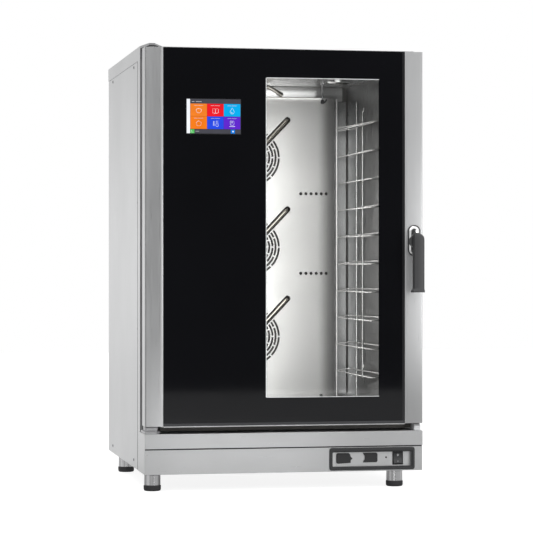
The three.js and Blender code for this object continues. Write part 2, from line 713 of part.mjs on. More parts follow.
function doorPan() {
  const x = widen([-HALF, HALF], -SHEET - GAP);
  const front = GLASS_THICKNESS + GAP;
  const back = DOOR_DEPTH - SHEET - GAP;
  const z = DOOR_Z;
  const pinHoles = holeZ(HINGE.x, HINGE.y, z, HINGE.pinR + 0.4);
  const spindle = holeY(HANDLE.x, HANDLE.z, [back - SHEET, back], HANDLE.spindleR + 0.5, 16);
  const view = slabXZ(roundedRect(VIEW_X, VIEW_Z, 10), [back - 5, back + 5]);
  return cut(join([
    box(x, [back - SHEET, back], z),
    box(x, [front, back], [z[1] - SHEET, z[1]]),
    box(x, [front, back], [z[0], z[0] + SHEET]),
    box([-GLASS_X, GLASS_X], [0.5, front + 1], [z[0], GLASS_BOTTOM - GAP]),
    rodZ(HINGE.x, HINGE.y, [z[0] + 0.5, z[0] + 24], 11, 16),
    rodZ(HINGE.x, HINGE.y, [z[1] - 20, z[1] - 0.5], 11, 16),
  ]), [pinHoles, spindle, view]);
}

function outerGlass() {
  const pane = box([-GLASS_X, GLASS_X], [0, GLASS_THICKNESS], [GLASS_BOTTOM, DOOR_Z[1]]);
  return cut(pane, [box(widen(SCREEN_X, GAP), [-1, GLASS_THICKNESS + 1], widen(SCREEN_Z, GAP))]);
}

function touchScreen() {
  const behind = GLASS_THICKNESS + GAP;
  return join([
    box(SCREEN_X, [0.3, behind + 1], SCREEN_Z),
    box(widen(SCREEN_X, 9), [behind, 30], widen(SCREEN_Z, 9)),
  ]);
}

function innerFrame() {
  return ringXZ(
    widen(CAVITY_X, 22), widen(CAVITY_Z, 24), widen(CAVITY_X, -8), widen(CAVITY_Z, -8),
    [DOOR_DEPTH + GAP, 87.7], 12, 6,
  );
}

function innerGlass() {
  return slabXZ(roundedRect(widen(CAVITY_X, -8.4), widen(CAVITY_Z, -8.4), 5), [79, 85]);
}

function doorGasket() {
  return ringXZ(
    widen(CAVITY_X, 18), widen(CAVITY_Z, 20), widen(CAVITY_X, 5), widen(CAVITY_Z, 5),
    [88, FRAME_FRONT - GAP], 14, 10,
  );
}

function hingeBracketTop() {
  const back = FRAME_FRONT - GAP;
  const inner = -340;
  const plateZ = [BODY_TOP - 7.5, BODY_TOP - 1];
  const plate = prismXY(outline([
    [-HALF, back], [-HALF, 84], [-HALF + 12, 3], [HINGE.x + 3, 3], [inner - 3, 84], [inner, back],
  ]), plateZ);
  const flange = box([-HALF, inner], [back - 4, back], [plateZ[0] - 27, plateZ[0] + 1]);
  return join([plate, flange, rodZ(HINGE.x, HINGE.y, [plateZ[0] - 22, plateZ[0] + 1], HINGE.pinR)]);
}

function hingeBracketBottom() {
  const deck = PLINTH_TOP + GAP;
  return join([
    prismXY(outline([[-HALF, 4], [-358, 4], [-346, 14], [-346, 80], [-HALF, 80]]), [deck, deck + 8]),
    rodZ(HINGE.x, HINGE.y, [deck + 7, DOOR_Z[0] - GAP], 10, 16),
    rodZ(HINGE.x, HINGE.y, [deck + 7, DOOR_Z[0] + 22], HINGE.pinR),
  ]);
}

function doorRest() {
  const deck = PLINTH_TOP + GAP;
  return barYZ(outline([
    [10, deck], [48, deck], [48, deck + 12], [40, deck + 18.5], [18, deck + 18.5], [10, deck + 12],
  ]), [368, 387]);
}

function dripGutter() {
  const z = [PLINTH_TOP + 4, PLINTH_TOP + 18];
  const back = FRAME_FRONT - GAP;
  return barYZ(outline([
    [57, z[1]], [57, z[0]], [back, z[0]], [back, z[1] + 6], [back - SHEET, z[1] + 6], [back - SHEET, z[0] + SHEET],
    [57 + SHEET, z[0] + SHEET], [57 + SHEET, z[1]],
  ]), [-340, 386]);
}

function latchKeeper() {
  const y = [93, FRAME_FRONT - GAP];
  const plate = slabXZ(roundedRect([HANDLE.x - 14, HANDLE.x + 14], widen([HANDLE.z, HANDLE.z], 26), 5), y);
  return cut(plate, [holeY(HANDLE.x, HANDLE.z, y, 11, 16)]);
}

// ---------------------------------------------------------------- handle

function escutcheon() {
  const plate = slabXZ(
    roundedRect([HANDLE.x - 18, HANDLE.x + 18], widen([HANDLE.z, HANDLE.z], 43), 17.9), [-6, -GAP], 5,
  );
  return cut(plate, [holeY(HANDLE.x, HANDLE.z, [-6, 0], HANDLE.spindleR + 0.5, 16)]);
}

function handleSpindle() {
  const { x, z, spindleR } = HANDLE;
  return join([
    rodY(x, z, [-12, 92], spindleR, 16),
    rod([x, -6.3, z], [x, -26, z], 14, 20, 9),
    slabXZ(roundedRect([x - 10, x + 10], [z - 16, z + 12], 6), [GRIP_Y[1] + GAP, -20]),
    rodY(x, z, [90, 97], 6, 16),
    box([x - 4, x + 4], [90, 97], [z - 9, z + 9]),
  ]);
}

function handleGrip() {
  const half = 17;
  const top = GRIP_Z[1];
  const bottom = GRIP_Z[0];
  const x = HANDLE.x;
  const front = outline([
    [x - half, bottom + 8], [x - half - 1.5, bottom], [x + half - 3, bottom], [x + half, bottom + 6],
    [x + half, top - 16], [x + half - 8, top - 5], [x + 2, top], [x - half + 4, top - 4], [x - half, top - 14],
  ]);
  return slabXZ(front, GRIP_Y);
}

// ---------------------------------------------------------------- control recess

function controlBezel() {
  const face = ringXZ(BEZEL_X, BEZEL_Z, WINDOW_X, WINDOW_Z, [1.7, LOWER_SETBACK - GAP], 8, 4);
  const sleeve = ringXZ(
    widen(BEZEL_X, -2.6), widen(BEZEL_Z, -2.6), WINDOW_X, WINDOW_Z,
    [LOWER_SETBACK - GAP - 0.5, CONTROL_PLATE_Y - GAP], 6, 4,
  );
  return join([face, sleeve]);
}

function capOpening(cap) {
  return box(widen(cap.x, -5), [CONTROL_PLATE_Y - 1, CONTROL_PLATE_Y + 3], widen(cap.z, -5));
}

function controlPlate() {
  const y = [CONTROL_PLATE_Y, CONTROL_PLATE_Y + SHEET];
  const plate = box(widen(BEZEL_X, -4), y, widen(BEZEL_Z, -4));
  const half = ROCKER.height / 2 + 1.8;
  return cut(plate, [
    ...Object.values(CAPS).map(capOpening),
    box(widen([ROCKER.x, ROCKER.x], ROCKER.width / 2 + 0.6), widen(y, 1), widen([ROCKER.z, ROCKER.z], half)),
    holeY(INDICATOR.x, INDICATOR.z, y, INDICATOR.r + 0.3, 12),
  ]);
}

function socketBlock() {
  const front = CONTROL_PLATE_Y + SHEET + GAP;
  const back = front + 18;
  const { usb_cap: usb, probe_cap: probe } = CAPS;
  const probeX = (probe.x[0] + probe.x[1]) / 2;
  const probeZ = (probe.z[0] + probe.z[1]) / 2;
  return cut(box([usb.x[0], probe.x[1]], [front, back], [66, 96]), [
    box([usb.x[0] + 13, usb.x[1] - 13], [front - 1, back - 4], [77, 84]),
    holeY(probeX, probeZ, [front, back - 5], 7, 16),
  ]);
}

function rubberCap(cap) {
  const y = [CONTROL_PLATE_Y - GAP - 3, CONTROL_PLATE_Y - GAP];
  const pull = box([cap.x[1] - 2, cap.x[1] + 5], [y[0], y[0] + 2], widen([cap.z[0] + 14, cap.z[0] + 14], 3.5));
  const plug = box(widen(cap.x, -6.5), [y[1] - 0.5, y[1] + 1.5], widen(cap.z, -6.5));
  return join([slabXZ(roundedRect(cap.x, cap.z, 5), y), pull, plug]);
}

// The rocker is built level about its pivot; the assembly tips it to its off side.
function powerSwitch() {
  const half = ROCKER.height / 2;
  return barYZ(outline([
    [-4.6, -half], [0, -half + 0.5], [9, -5], [9, 5], [0, half - 0.5], [-4.6, half], [-3, 0],
  ]), widen([0, 0], ROCKER.width / 2));
}

function indicatorLight() {
  return join([
    rodY(INDICATOR.x, INDICATOR.z, [CONTROL_PLATE_Y - 1.2, CONTROL_PLATE_Y + 8], INDICATOR.r, 12),
    rodY(INDICATOR.x, INDICATOR.z, [CONTROL_PLATE_Y + SHEET + GAP, CONTROL_PLATE_Y + 6], 4, 12),
  ]);
}

// ---------------------------------------------------------------- tray racks

// side is 1 for the right rack and -1 for its mirror image; x counts from the cavity's middle.
function trayRack(side) {
  const half = RACK_WIRE / 2;
  const onSide = (range) => (side > 0 ? range : mirrorRange(range)).map((x) => x + CAVITY_MID);
  const innerX = onSide([RACK_INNER - half, RACK_INNER + half]);
  const outerX = onSide([RACK_OUTER - half, RACK_OUTER + half + 1]);
  const postX = onSide([RACK_POST - half - 1, RACK_POST + half]);
  const hookX = onSide([RACK_POST + half - 2, RACK_POST + half + 3.5]);
  const ledgeX = onSide([RACK_INNER - half, RACK_OUTER + half + 1]);
  const gapX = onSide([RACK_INNER + half, RACK_OUTER - half]);
  const pieces = [];
  for (let level = 0; level < RACK_LEVELS; level += 1) {
    const z = RACK_FIRST + level * RACK_PITCH;
    const loop = roundedRect(ledgeX, RACK_Y);
    loop.holes.push(roundedRect(gapX, widen(RACK_Y, -RACK_WIRE)));
    pieces.push(prismXY(loop, [z - half, z + half]));
  }
  const lastLevel = RACK_FIRST + (RACK_LEVELS - 1) * RACK_PITCH;
  pieces.push(box(innerX, [RACK_Y[1] - RACK_WIRE, RACK_Y[1]], [CAVITY_Z[0] + GAP, RACK_TOP]));
  pieces.push(box(outerX, [RACK_Y[1] - RACK_WIRE, RACK_Y[1]], [lastLevel, RACK_TOP]));
  pieces.push(box(ledgeX, [RACK_Y[1] - RACK_WIRE, RACK_Y[1]], [RACK_TOP - RACK_WIRE, RACK_TOP]));
  for (const y of RACK_POST_Y) {
    pieces.push(box(postX, widen([y, y], half), [RACK_FIRST - 30, lastLevel + 60]));
    for (const z of STUD_Z) {
      pieces.push(box(hookX, widen([y, y], 8), [z + 4 + GAP, z + 18]));
    }
  }
  return join(pieces);
}

// ---------------------------------------------------------------- assembly

const oven = new THREE.Group();

function addCasing() {
  addPart(oven, 'base_tray', baseTray(), 'brushed');
  addPart(oven, 'upper_fascia', upperFascia(), 'brushed');
  addPart(oven, 'lower_fascia', lowerFascia(), 'brushed');
  addPart(oven, 'side_panel_left', sidePanel(-1), 'brushed');
  addPart(oven, 'side_panel_right', sidePanel(1), 'brushed');
  addPart(oven, 'top_cover', topCover(), 'brushed');
  addPart(oven, 'rear_panel', rearPanel(), 'brushed');
  addPart(oven, 'front_frame', frontFrame(), 'brushed');
  for (const [row, y] of FOOT_Y.entries()) {
    for (const [column, x] of FOOT_X.entries()) {
      const name = `foot_${['front', 'rear'][row]}_${['left', 'right'][column]}`;
      addPart(oven, name, foot(), 'cast').position.set(x, y, 0);
    }
  }
}

function addCavity() {
  addPart(oven, 'cavity_wrap', cavityWrap(), 'chamber');
  addPart(oven, 'cavity_back_wall', cavityBack(), 'chamber');
  addPart(oven, 'fan_baffle', fanBaffle(), 'chamber');
  addPart(oven, 'insulation_blanket', insulation(), 'wool');
  addPart(oven, 'cavity_lamp', cavityLamp(), 'lamp').position.set(LAMP.x, LAMP.y, 0);
  addPart(oven, 'cavity_probe', cavityProbe(), 'chrome');
  addPart(oven, 'wash_arm', washArm(), 'chrome');
  addPart(oven, 'water_manifold', waterManifold(), 'element');
  addPart(oven, 'drain_pipe', drainPipe(), 'chamber');
  addPart(oven, 'tray_rack_left', trayRack(-1), 'chrome');
  addPart(oven, 'tray_rack_right', trayRack(1), 'chrome');
}

function addFanUnits() {
  for (const [place, z] of Object.entries(FAN_Z)) {
    const unit = new THREE.Group();
    unit.position.set(CAVITY_MID, 0, z);
    addPart(unit, `fan_wheel_${place}`, impeller(), 'chamber');
    addPart(unit, `fan_motor_${place}`, fanMotor(), 'cast');
    addPart(unit, `heating_element_${place}`, heatingElement(), 'element');
    oven.add(unit);
  }
}

function addServices() {
  addPart(oven, 'water_inlet_valve', waterInletValve(), 'dark');
  addPart(oven, 'cable_gland', cableGland(), 'dark');
  addPart(oven, 'control_board', controlBoard(), 'board');
  addPart(oven, 'chimney', chimney(), 'chamber');
  addPart(oven, 'vent_flap', ventFlap(), 'chamber');
}

function addDoor() {
  addPart(oven, 'door_stile_left', doorStileLeft(), 'brushed');
  addPart(oven, 'door_stile_right', doorStileRight(), 'brushed');
  addPart(oven, 'door_pan', doorPan(), 'brushed');
  addPart(oven, 'outer_glass', outerGlass(), 'glass');
  addPart(oven, 'touch_screen', touchScreen(), 'screen');
  addPart(oven, 'inner_frame', innerFrame(), 'dark');
  addPart(oven, 'inner_glass', innerGlass(), 'clear');
  addPart(oven, 'door_gasket', doorGasket(), 'gasket');
  addPart(oven, 'hinge_bracket_top', hingeBracketTop(), 'cast');
  addPart(oven, 'hinge_bracket_bottom', hingeBracketBottom(), 'chrome');
  addPart(oven, 'door_rest', doorRest(), 'chrome');
  addPart(oven, 'drip_gutter', dripGutter(), 'chamber');
  addPart(oven, 'latch_keeper', latchKeeper(), 'chrome');
  addPart(oven, 'handle_escutcheon', escutcheon(), 'chrome');
  addPart(oven, 'handle_spindle', handleSpindle(), 'chrome');
  addPart(oven, 'handle_grip', handleGrip(), 'black');
}

function addControls() {
  addPart(oven, 'control_bezel', controlBezel(), 'dark');
  addPart(oven, 'control_plate', controlPlate(), 'brushed');
  addPart(oven, 'socket_block', socketBlock(), 'black');
  for (const [name, cap] of Object.entries(CAPS)) {
    addPart(oven, name, rubberCap(cap), 'rubber');
  }
  const rocker = addPart(oven, 'power_switch', powerSwitch(), 'black');
  rocker.position.set(ROCKER.x, ROCKER.y, ROCKER.z);
  rocker.rotation.x = ROCKER.rest;
  addPart(oven, 'indicator_light', indicatorLight(), 'lamp');
}

addCasing();
addCavity();
addFanUnits();
addServices();
addDoor();
addControls();

// The part's origin is the middle of its footprint on the floor.
const model = new THREE.Group();
oven.position.y = -(GRIP_Y[0] + REAR_REACH) / 2;
model.add(oven);

export default model;
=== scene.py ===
"""The looks of the combi steamer oven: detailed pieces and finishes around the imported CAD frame.

Metres, +Z up, the door faces -Y. Every place comes from the CAD nodes' boxes or from a named size below.
"""

import json
import math

import bmesh
import bpy
from mathutils import Matrix, Vector


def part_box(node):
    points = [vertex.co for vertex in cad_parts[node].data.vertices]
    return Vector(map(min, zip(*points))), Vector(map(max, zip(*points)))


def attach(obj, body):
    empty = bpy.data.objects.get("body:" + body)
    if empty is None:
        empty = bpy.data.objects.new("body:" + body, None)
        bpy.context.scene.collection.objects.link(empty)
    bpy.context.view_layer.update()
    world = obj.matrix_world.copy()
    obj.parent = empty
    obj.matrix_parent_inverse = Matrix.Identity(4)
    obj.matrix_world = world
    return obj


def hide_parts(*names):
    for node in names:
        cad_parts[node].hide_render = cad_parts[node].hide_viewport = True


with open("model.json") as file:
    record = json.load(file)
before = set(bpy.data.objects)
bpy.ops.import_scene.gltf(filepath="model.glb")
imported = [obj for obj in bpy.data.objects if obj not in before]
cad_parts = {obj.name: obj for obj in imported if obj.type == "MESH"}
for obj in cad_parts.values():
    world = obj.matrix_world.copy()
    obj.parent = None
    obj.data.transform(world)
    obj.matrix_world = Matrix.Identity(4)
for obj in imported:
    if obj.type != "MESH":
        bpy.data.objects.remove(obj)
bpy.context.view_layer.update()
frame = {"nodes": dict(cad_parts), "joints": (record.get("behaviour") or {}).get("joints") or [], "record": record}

MM = 0.001
SMOOTH = math.radians(35)
BODY_OF = {node: body for body, nodes in frame["record"]["behaviour"]["bodies"].items() for node in nodes}
scene = bpy.context.scene

# ---------------------------------------------------------------- materials


def shader_tree(name):
    """A new material with its Principled shader, ready for nodes; coordinates are the row frame's."""
    material = bpy.data.materials.new(name)
    material.use_nodes = True
    tree = material.node_tree
    shader = tree.nodes["Principled BSDF"]
    place = tree.nodes.new("ShaderNodeTexCoord").outputs["Object"]
    return material, tree, shader, place


def noise(tree, place, scale, detail=4.0, stretch=(1, 1, 1)):
    """A noise value from 0 to 1; stretch above 1 makes it finer along that axis."""
    mapping = tree.nodes.new("ShaderNodeMapping")
    mapping.inputs["Scale"].default_value = stretch
    tree.links.new(place, mapping.inputs["Vector"])
    field = tree.nodes.new("ShaderNodeTexNoise")
    field.inputs["Scale"].default_value = scale
    field.inputs["Detail"].default_value = detail
    tree.links.new(mapping.outputs["Vector"], field.inputs["Vector"])
    return field.outputs["Fac"]


def spread(tree, value, low, high):
    """Maps the middle of a noise value to the range low to high."""
    node = tree.nodes.new("ShaderNodeMapRange")
    node.inputs["From Min"].default_value = 0.25
    node.inputs["From Max"].default_value = 0.75
    node.inputs["To Min"].default_value = low
    node.inputs["To Max"].default_value = high
    tree.links.new(value, node.inputs["Value"])
    return node.outputs["Result"]


def tinted(tree, factor, dark, light):
    """A colour between dark and light."""
    mix = tree.nodes.new("ShaderNodeMix")
    mix.data_type = "RGBA"
    mix.inputs[6].default_value = (*dark, 1)
    mix.inputs[7].default_value = (*light, 1)
    tree.links.new(factor, mix.inputs[0])
    return mix.outputs[2]


def bumped(tree, shader, height, depth):
    """Fine relief of about depth metres."""
    bump = tree.nodes.new("ShaderNodeBump")
    bump.inputs["Strength"].default_value = 1.0
    bump.inputs["Distance"].default_value = depth
    tree.links.new(height, bump.inputs["Height"])
    tree.links.new(bump.outputs["Normal"], shader.inputs["Normal"])


def surface(name, colour, roughness, metallic=0.0, grain=400.0, stretch=(1, 1, 1), relief=0.00002,
            shade=0.12, swing=0.05, coat=0.0, cloud=4.0, cloud_stretch=(1, 1, 1)):
    """A finish with fine grain for relief and roughness, and broad clouding in its colour."""
    material, tree, shader, place = shader_tree(name)
    fine = noise(tree, place, grain, 3.0, stretch)
    broad = noise(tree, place, cloud, 2.0, cloud_stretch)
    dark = tuple(c * (1 - shade) for c in colour)
    light = tuple(min(1.0, c * (1 + shade / 2)) for c in colour)
    tree.links.new(tinted(tree, spread(tree, broad, 0.0, 1.0), dark, light), shader.inputs["Base Color"])
    rough = spread(tree, fine, max(0.02, roughness - swing), roughness + swing)
    tree.links.new(rough, shader.inputs["Roughness"])
    bumped(tree, shader, fine, relief)
    shader.inputs["Metallic"].default_value = metallic
    shader.inputs["Coat Weight"].default_value = coat
    shader.inputs["Coat Roughness"].default_value = 0.08
    return material


def world_range(tree, value, low, high, start, end):
    """A smooth step from start to end as value goes from low to high."""
    node = tree.nodes.new("ShaderNodeMapRange")
    node.interpolation_type = "SMOOTHSTEP"
    for name, number in (("From Min", low), ("From Max", high), ("To Min", start), ("To Max", end)):
        node.inputs[name].default_value = number
    tree.links.new(value, node.inputs["Value"])
    return node.outputs["Result"]


def faded(material, axis, low, high, start, end):
    """Multiplies a finish's colour by a factor that goes from start to end along an axis of the row frame."""
    tree = material.node_tree
    colour = tree.nodes["Principled BSDF"].inputs["Base Color"]
    before = colour.links[0].from_socket
    split = tree.nodes.new("ShaderNodeSeparateXYZ")
    tree.links.new(tree.nodes.new("ShaderNodeTexCoord").outputs["Object"], split.inputs["Vector"])
    scale = tree.nodes.new("ShaderNodeVectorMath")
    scale.operation = "SCALE"
    tree.links.new(before, scale.inputs[0])
    tree.links.new(world_range(tree, split.outputs[axis], low, high, start, end), scale.inputs["Scale"])
    tree.links.new(scale.outputs[0], colour)


def see_through(name, tint, gloss_roughness):
    """Clear glass: it shows what is behind it and mirrors a little, more at a slant."""
    material, tree, shader, place = shader_tree(name)
    tree.nodes.remove(shader)
    clear = tree.nodes.new("ShaderNodeBsdfTransparent")
    clear.inputs["Color"].default_value = (*tint, 1)
    gloss = tree.nodes.new("ShaderNodeBsdfGlossy")
    gloss.inputs["Roughness"].default_value = gloss_roughness
    slant = tree.nodes.new("ShaderNodeLayerWeight")
    slant.inputs["Blend"].default_value = 0.12
    smear = spread(tree, noise(tree, place, 6.0, 2.0), 0.04, 0.07)
    weight = tree.nodes.new("ShaderNodeMath")
    weight.operation = "MAXIMUM"
    tree.links.new(slant.outputs["Facing"], weight.inputs[0])
    tree.links.new(smear, weight.inputs[1])
    mix = tree.nodes.new("ShaderNodeMixShader")
    tree.links.new(weight.outputs["Value"], mix.inputs["Fac"])
    tree.links.new(clear.outputs["BSDF"], mix.inputs[1])
    tree.links.new(gloss.outputs["BSDF"], mix.inputs[2])
    tree.links.new(mix.outputs["Shader"], tree.nodes["Material Output"].inputs["Surface"])
    return material


def lit(name, colour, strength, swing=0.08):
    """A patch of lit display, slightly uneven as a backlight is."""
    material, tree, shader, place = shader_tree(name)
    dark = tuple(c * (1 - swing) for c in colour)
    light = tuple(min(1.0, c * (1 + swing)) for c in colour)
    glow = tinted(tree, spread(tree, noise(tree, place, 35.0), 0.0, 1.0), dark, light)
    tree.links.new(glow, shader.inputs["Emission Color"])
    tree.links.new(tinted(tree, spread(tree, noise(tree, place, 35.0), 0.0, 1.0),
                          tuple(c * 0.2 for c in dark), tuple(c * 0.2 for c in light)),
                   shader.inputs["Base Color"])
    shader.inputs["Emission Strength"].default_value = strength
    shader.inputs["Roughness"].default_value = 0.15
    return material


STEEL = (0.62, 0.625, 0.63)
UPRIGHT = (1.0, 1.0, 0.01)
LEVEL = (0.01, 1.0, 1.0)

FINISH = {
    "brushed_upright": surface("brushed_steel_upright", STEEL, 0.33, 1.0, 1100.0, UPRIGHT, 0.000006, 0.06, 0.06),
    "brushed_level": surface("brushed_steel_level", STEEL, 0.33, 1.0, 1100.0, LEVEL, 0.000006, 0.06, 0.06),
    "panel": surface("control_panel_steel", (0.66, 0.665, 0.67), 0.33, 0.9, 1100.0, LEVEL, 0.000006, 0.06, 0.06),
    "chamber": surface("chamber_steel", (0.46, 0.46, 0.462), 0.16, 1.0, 90.0, (1, 1, 0.2), 0.00001, 0.1, 0.04),
    # painted reflection: strong upright stripes in the sleeves' colour, standing for the streaked reflections of
    # polished steel
    "foot": surface("foot_sleeve_steel", (0.75, 0.75, 0.76), 0.16, 1.0, 1500.0, (0.05, 0.05, 1), 0.00001, 0.6, 0.05,
                    0.0, 110.0, (1, 1, 0.02)),
    "arm": surface("dull_tube", (0.3, 0.285, 0.26), 0.3, 1.0, 600.0, (1, 1, 1), 0.00003, 0.3, 0.08),
    # painted shade: a less metallic copy of the brushed steel for the right stile alone
    "stile_right": surface("brushed_stile", STEEL, 0.33, 0.55, 1100.0, UPRIGHT, 0.000006, 0.06, 0.06),
    # painted light: a pale steel for the cavity ceiling and the back wall's top strip, brighter than the walls of the
    # same sheet
    "ceiling": surface("ceiling_steel", (0.95, 0.94, 0.93), 0.2, 0.5, 500.0, LEVEL, 0.00001, 0.25, 0.08,
                       0.0, 60.0, LEVEL),
    "wire": surface("rack_wire", (0.88, 0.87, 0.86), 0.22, 0.65, 300.0, (1, 1, 1), 0.000004, 0.08, 0.05),
    # painted shade: the cavity walls and floor get a much darker steel than the ceiling of the same sheet
    "wall": surface("cavity_wall_steel", (0.17, 0.17, 0.171), 0.3, 1.0, 90.0, (1, 1, 0.2), 0.00001, 0.1, 0.04),
    # painted shade: a near-black steel for the cavity's back wall, the fan wheels and the drip gutter, standing for the
    # shadow they lie in
    "burnt": surface("painted_shade_steel", (0.1, 0.097, 0.092), 0.5, 1.0, 300.0, (1, 1, 1), 0.00002, 0.2, 0.08),
    "feed": surface("tube_steel", (0.5, 0.47, 0.42), 0.22, 1.0, 300.0, (1, 1, 1), 0.00001, 0.15, 0.06),
    "baffle": surface("baffle_steel", (0.8, 0.79, 0.78), 0.4, 0.55, 500.0, UPRIGHT, 0.00001, 0.05, 0.06, 0.25),
    "polished": surface("polished_steel", (0.8, 0.8, 0.8), 0.1, 1.0, 200.0, (1, 1, 1), 0.000004, 0.06, 0.04),
    "turned": surface("turned_steel", (0.7, 0.7, 0.71), 0.13, 1.0, 1500.0, (0.05, 0.05, 1), 0.00001, 0.1, 0.05),
    # dark paint for the motors, side screws and probe tip, and painted shade on the door pan and the stile's fold strip
    "dark_paint": surface("dark_metal", (0.055, 0.056, 0.06), 0.42, 0.4, 700.0, (1, 1, 1), 0.00003, 0.15, 0.06),
    "cast": surface("cast_zinc", (0.42, 0.42, 0.43), 0.36, 1.0, 500.0, (1, 1, 1), 0.00005, 0.15, 0.08),
    "element": surface("element_alloy", (0.3, 0.255, 0.2), 0.4, 1.0, 300.0, (1, 1, 1), 0.00004, 0.3, 0.1),
    "dark_plastic": surface("dark_plastic", (0.026, 0.027, 0.029), 0.42, 0.0, 1600.0, (1, 1, 1), 0.00002, 0.1, 0.05),
    "grip": surface("black_plastic", (0.042, 0.042, 0.044), 0.4, 0.0, 1400.0, (1, 1, 1), 0.00003, 0.1, 0.06),
    "rubber": surface("black_rubber", (0.02, 0.02, 0.0215), 0.62, 0.0, 1300.0, (1, 1, 1), 0.00005, 0.15, 0.08),
    "print": surface("printed_glass", (0.004, 0.0042, 0.0055), 0.05, 0.0, 12.0, (1, 1, 1), 0.0, 0.2, 0.01),
    "clear": see_through("clear_glass", (0.955, 0.958, 0.955), 0.02),
    "lens": see_through("lamp_glass", (0.8, 0.8, 0.78), 0.25),
    "wool": surface("mineral_wool", (0.5, 0.43, 0.27), 0.95, 0.0, 180.0, (1, 1, 1), 0.002, 0.3, 0.03),
    "board": surface("circuit_board", (0.03, 0.14, 0.07), 0.45, 0.0, 300.0, (1, 1, 1), 0.0001, 0.4, 0.1),
    "indicator": surface("indicator_lens", (0.03, 0.012, 0.012), 0.2, 0.0, 600.0, (1, 1, 1), 0.00001, 0.2, 0.03),
    # white for the rocker marks and the window's rim line, and a painted highlight on the door rest
    "white_print": surface("white_print", (0.75, 0.76, 0.77), 0.4, 0.0, 800.0, (1, 1, 1), 0.00001, 0.05, 0.05),
    "print_edge": surface("printed_edge", (0.02, 0.0205, 0.022), 0.12, 0.0, 30.0, (1, 1, 1), 0.0, 0.2, 0.02),
    # painted shadow and real black: near-black sheets in the shaded gaps by the side panels, the plinth and the drain,
    # and the real black frame of the rocker
    "dark_gap": surface("painted_shadow_and_black_trim", (0.012, 0.012, 0.013), 0.6, 0.0, 500.0, (1, 1, 1), 0.00003, 0.1, 0.05),
}

# painted shade: the baffle's colour darkens over its rolled right edge
faded(FINISH["baffle"], "X", 0.216, 0.262, 1.0, 0.42)
# painted shade and light: the cavity walls' steel darkens towards the door and lightens towards the back
faded(FINISH["wall"], "Y", -0.14, 0.2, 0.55, 1.9)
# painted light: the ceiling's colour darkens towards the right, standing for the falloff of a lamp's glare
faded(FINISH["ceiling"], "X", -0.02, 0.24, 1.0, 0.4)
# painted shade: the right stile's colour darkens towards the bottom
faded(FINISH["stile_right"], "Z", 0.2, 0.45, 0.6, 0.93)

# ---------------------------------------------------------------- mesh tools


def piece_from(bm, name, finishes, body, replaces=(), bevel=0.0, segments=3):
    """Turns mesh data into a piece that rides on a body, with rounded edges where bevel is given."""
    bmesh.ops.recalc_face_normals(bm, faces=bm.faces)
    mesh = bpy.data.meshes.new(name)
    bm.to_mesh(mesh)
    bm.free()
    for finish in [finishes] if isinstance(finishes, str) else finishes:
        mesh.materials.append(FINISH[finish])
    mesh.shade_smooth()
    mesh.set_sharp_from_angle(angle=SMOOTH)
    piece = bpy.data.objects.new(name, mesh)
    scene.collection.objects.link(piece)
    if bevel:
        rounding = piece.modifiers.new("rounding", "BEVEL")
        rounding.width = bevel
        rounding.segments = segments
        rounding.limit_method = "ANGLE"
        rounding.angle_limit = SMOOTH
        rounding.harden_normals = True
        rounding.use_clamp_overlap = True
    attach(piece, body)
    if replaces:
        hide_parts(*replaces)
    return piece


def refined(node, finish, bevel=0.6 * MM, segments=3):
    """A CAD node's own shape with its flat faces whole again and its edges rounded."""
    bm = bmesh.new()
    bm.from_mesh(frame["nodes"][node].data)
    bmesh.ops.remove_doubles(bm, verts=bm.verts, dist=2e-6)
    bmesh.ops.dissolve_limit(bm, angle_limit=math.radians(0.5), verts=bm.verts, edges=bm.edges)
    return piece_from(bm, node + "_skin", finish, BODY_OF[node], (node,), bevel, segments)


def add_box(bm, low, high):
    """A plain block between two corners."""
    made = bmesh.ops.create_cube(bm, size=1.0)["verts"]
    size = Vector(high) - Vector(low)
    middle = (Vector(high) + Vector(low)) / 2
    bmesh.ops.transform(bm, matrix=Matrix.Translation(middle) @ Matrix.Diagonal((*size, 1)), verts=made)
    return made


def join_rings(bm, rings, closed=False, caps=True):
    """Faces between rings of as many points each; closed joins the last ring to the first."""
    made = [[bm.verts.new(point) for point in ring] for ring in rings]
    count = len(made[0])
    pairs = list(zip(made, made[1:] + made[:1] if closed else made[1:]))
    for first, second in pairs:
        for i in range(count):
            j = (i + 1) % count
            bm.faces.new((first[i], first[j], second[j], second[i]))
    if caps and not closed:
        bm.faces.new(made[0])
        bm.faces.new(made[-1])
    return made


def facing(axis):
    """A turn that brings +Z onto axis."""
    return Vector(axis).to_track_quat("Z", "Y").to_matrix()


def add_turned(bm, profile, centre, axis=(0, 0, 1), sides=48):
    """A turned shape: profile lists (radius, height along axis); a closed profile makes a ring."""
    turn = facing(axis)
    rings = []
    for radius, height in profile:
        ring = []
        for i in range(sides):
            angle = 2 * math.pi * i / sides
            local = Vector((max(radius, 1e-5) * math.cos(angle), max(radius, 1e-5) * math.sin(angle), height))
            ring.append(Vector(centre) + turn @ local)
        rings.append(ring)
    closed = profile[0] == profile[-1]
    if closed:
        rings.pop()
    join_rings(bm, rings, closed)


def fillet(points, radius, steps=6):
    """A path through points with its corners rounded."""
    path = [Vector(points[0])]
    for before, corner, after in zip(points, points[1:], points[2:]):
        corner = Vector(corner)
        back = Vector(before) - corner
        ahead = Vector(after) - corner
        reach = min(radius, back.length * 0.49, ahead.length * 0.49)
        start = corner + back.normalized() * reach
        end = corner + ahead.normalized() * reach
        for i in range(steps + 1):
            t = i / steps
            path.append(start * (1 - t) ** 2 + corner * 2 * t * (1 - t) + end * t ** 2)
    path.append(Vector(points[-1]))
    return path


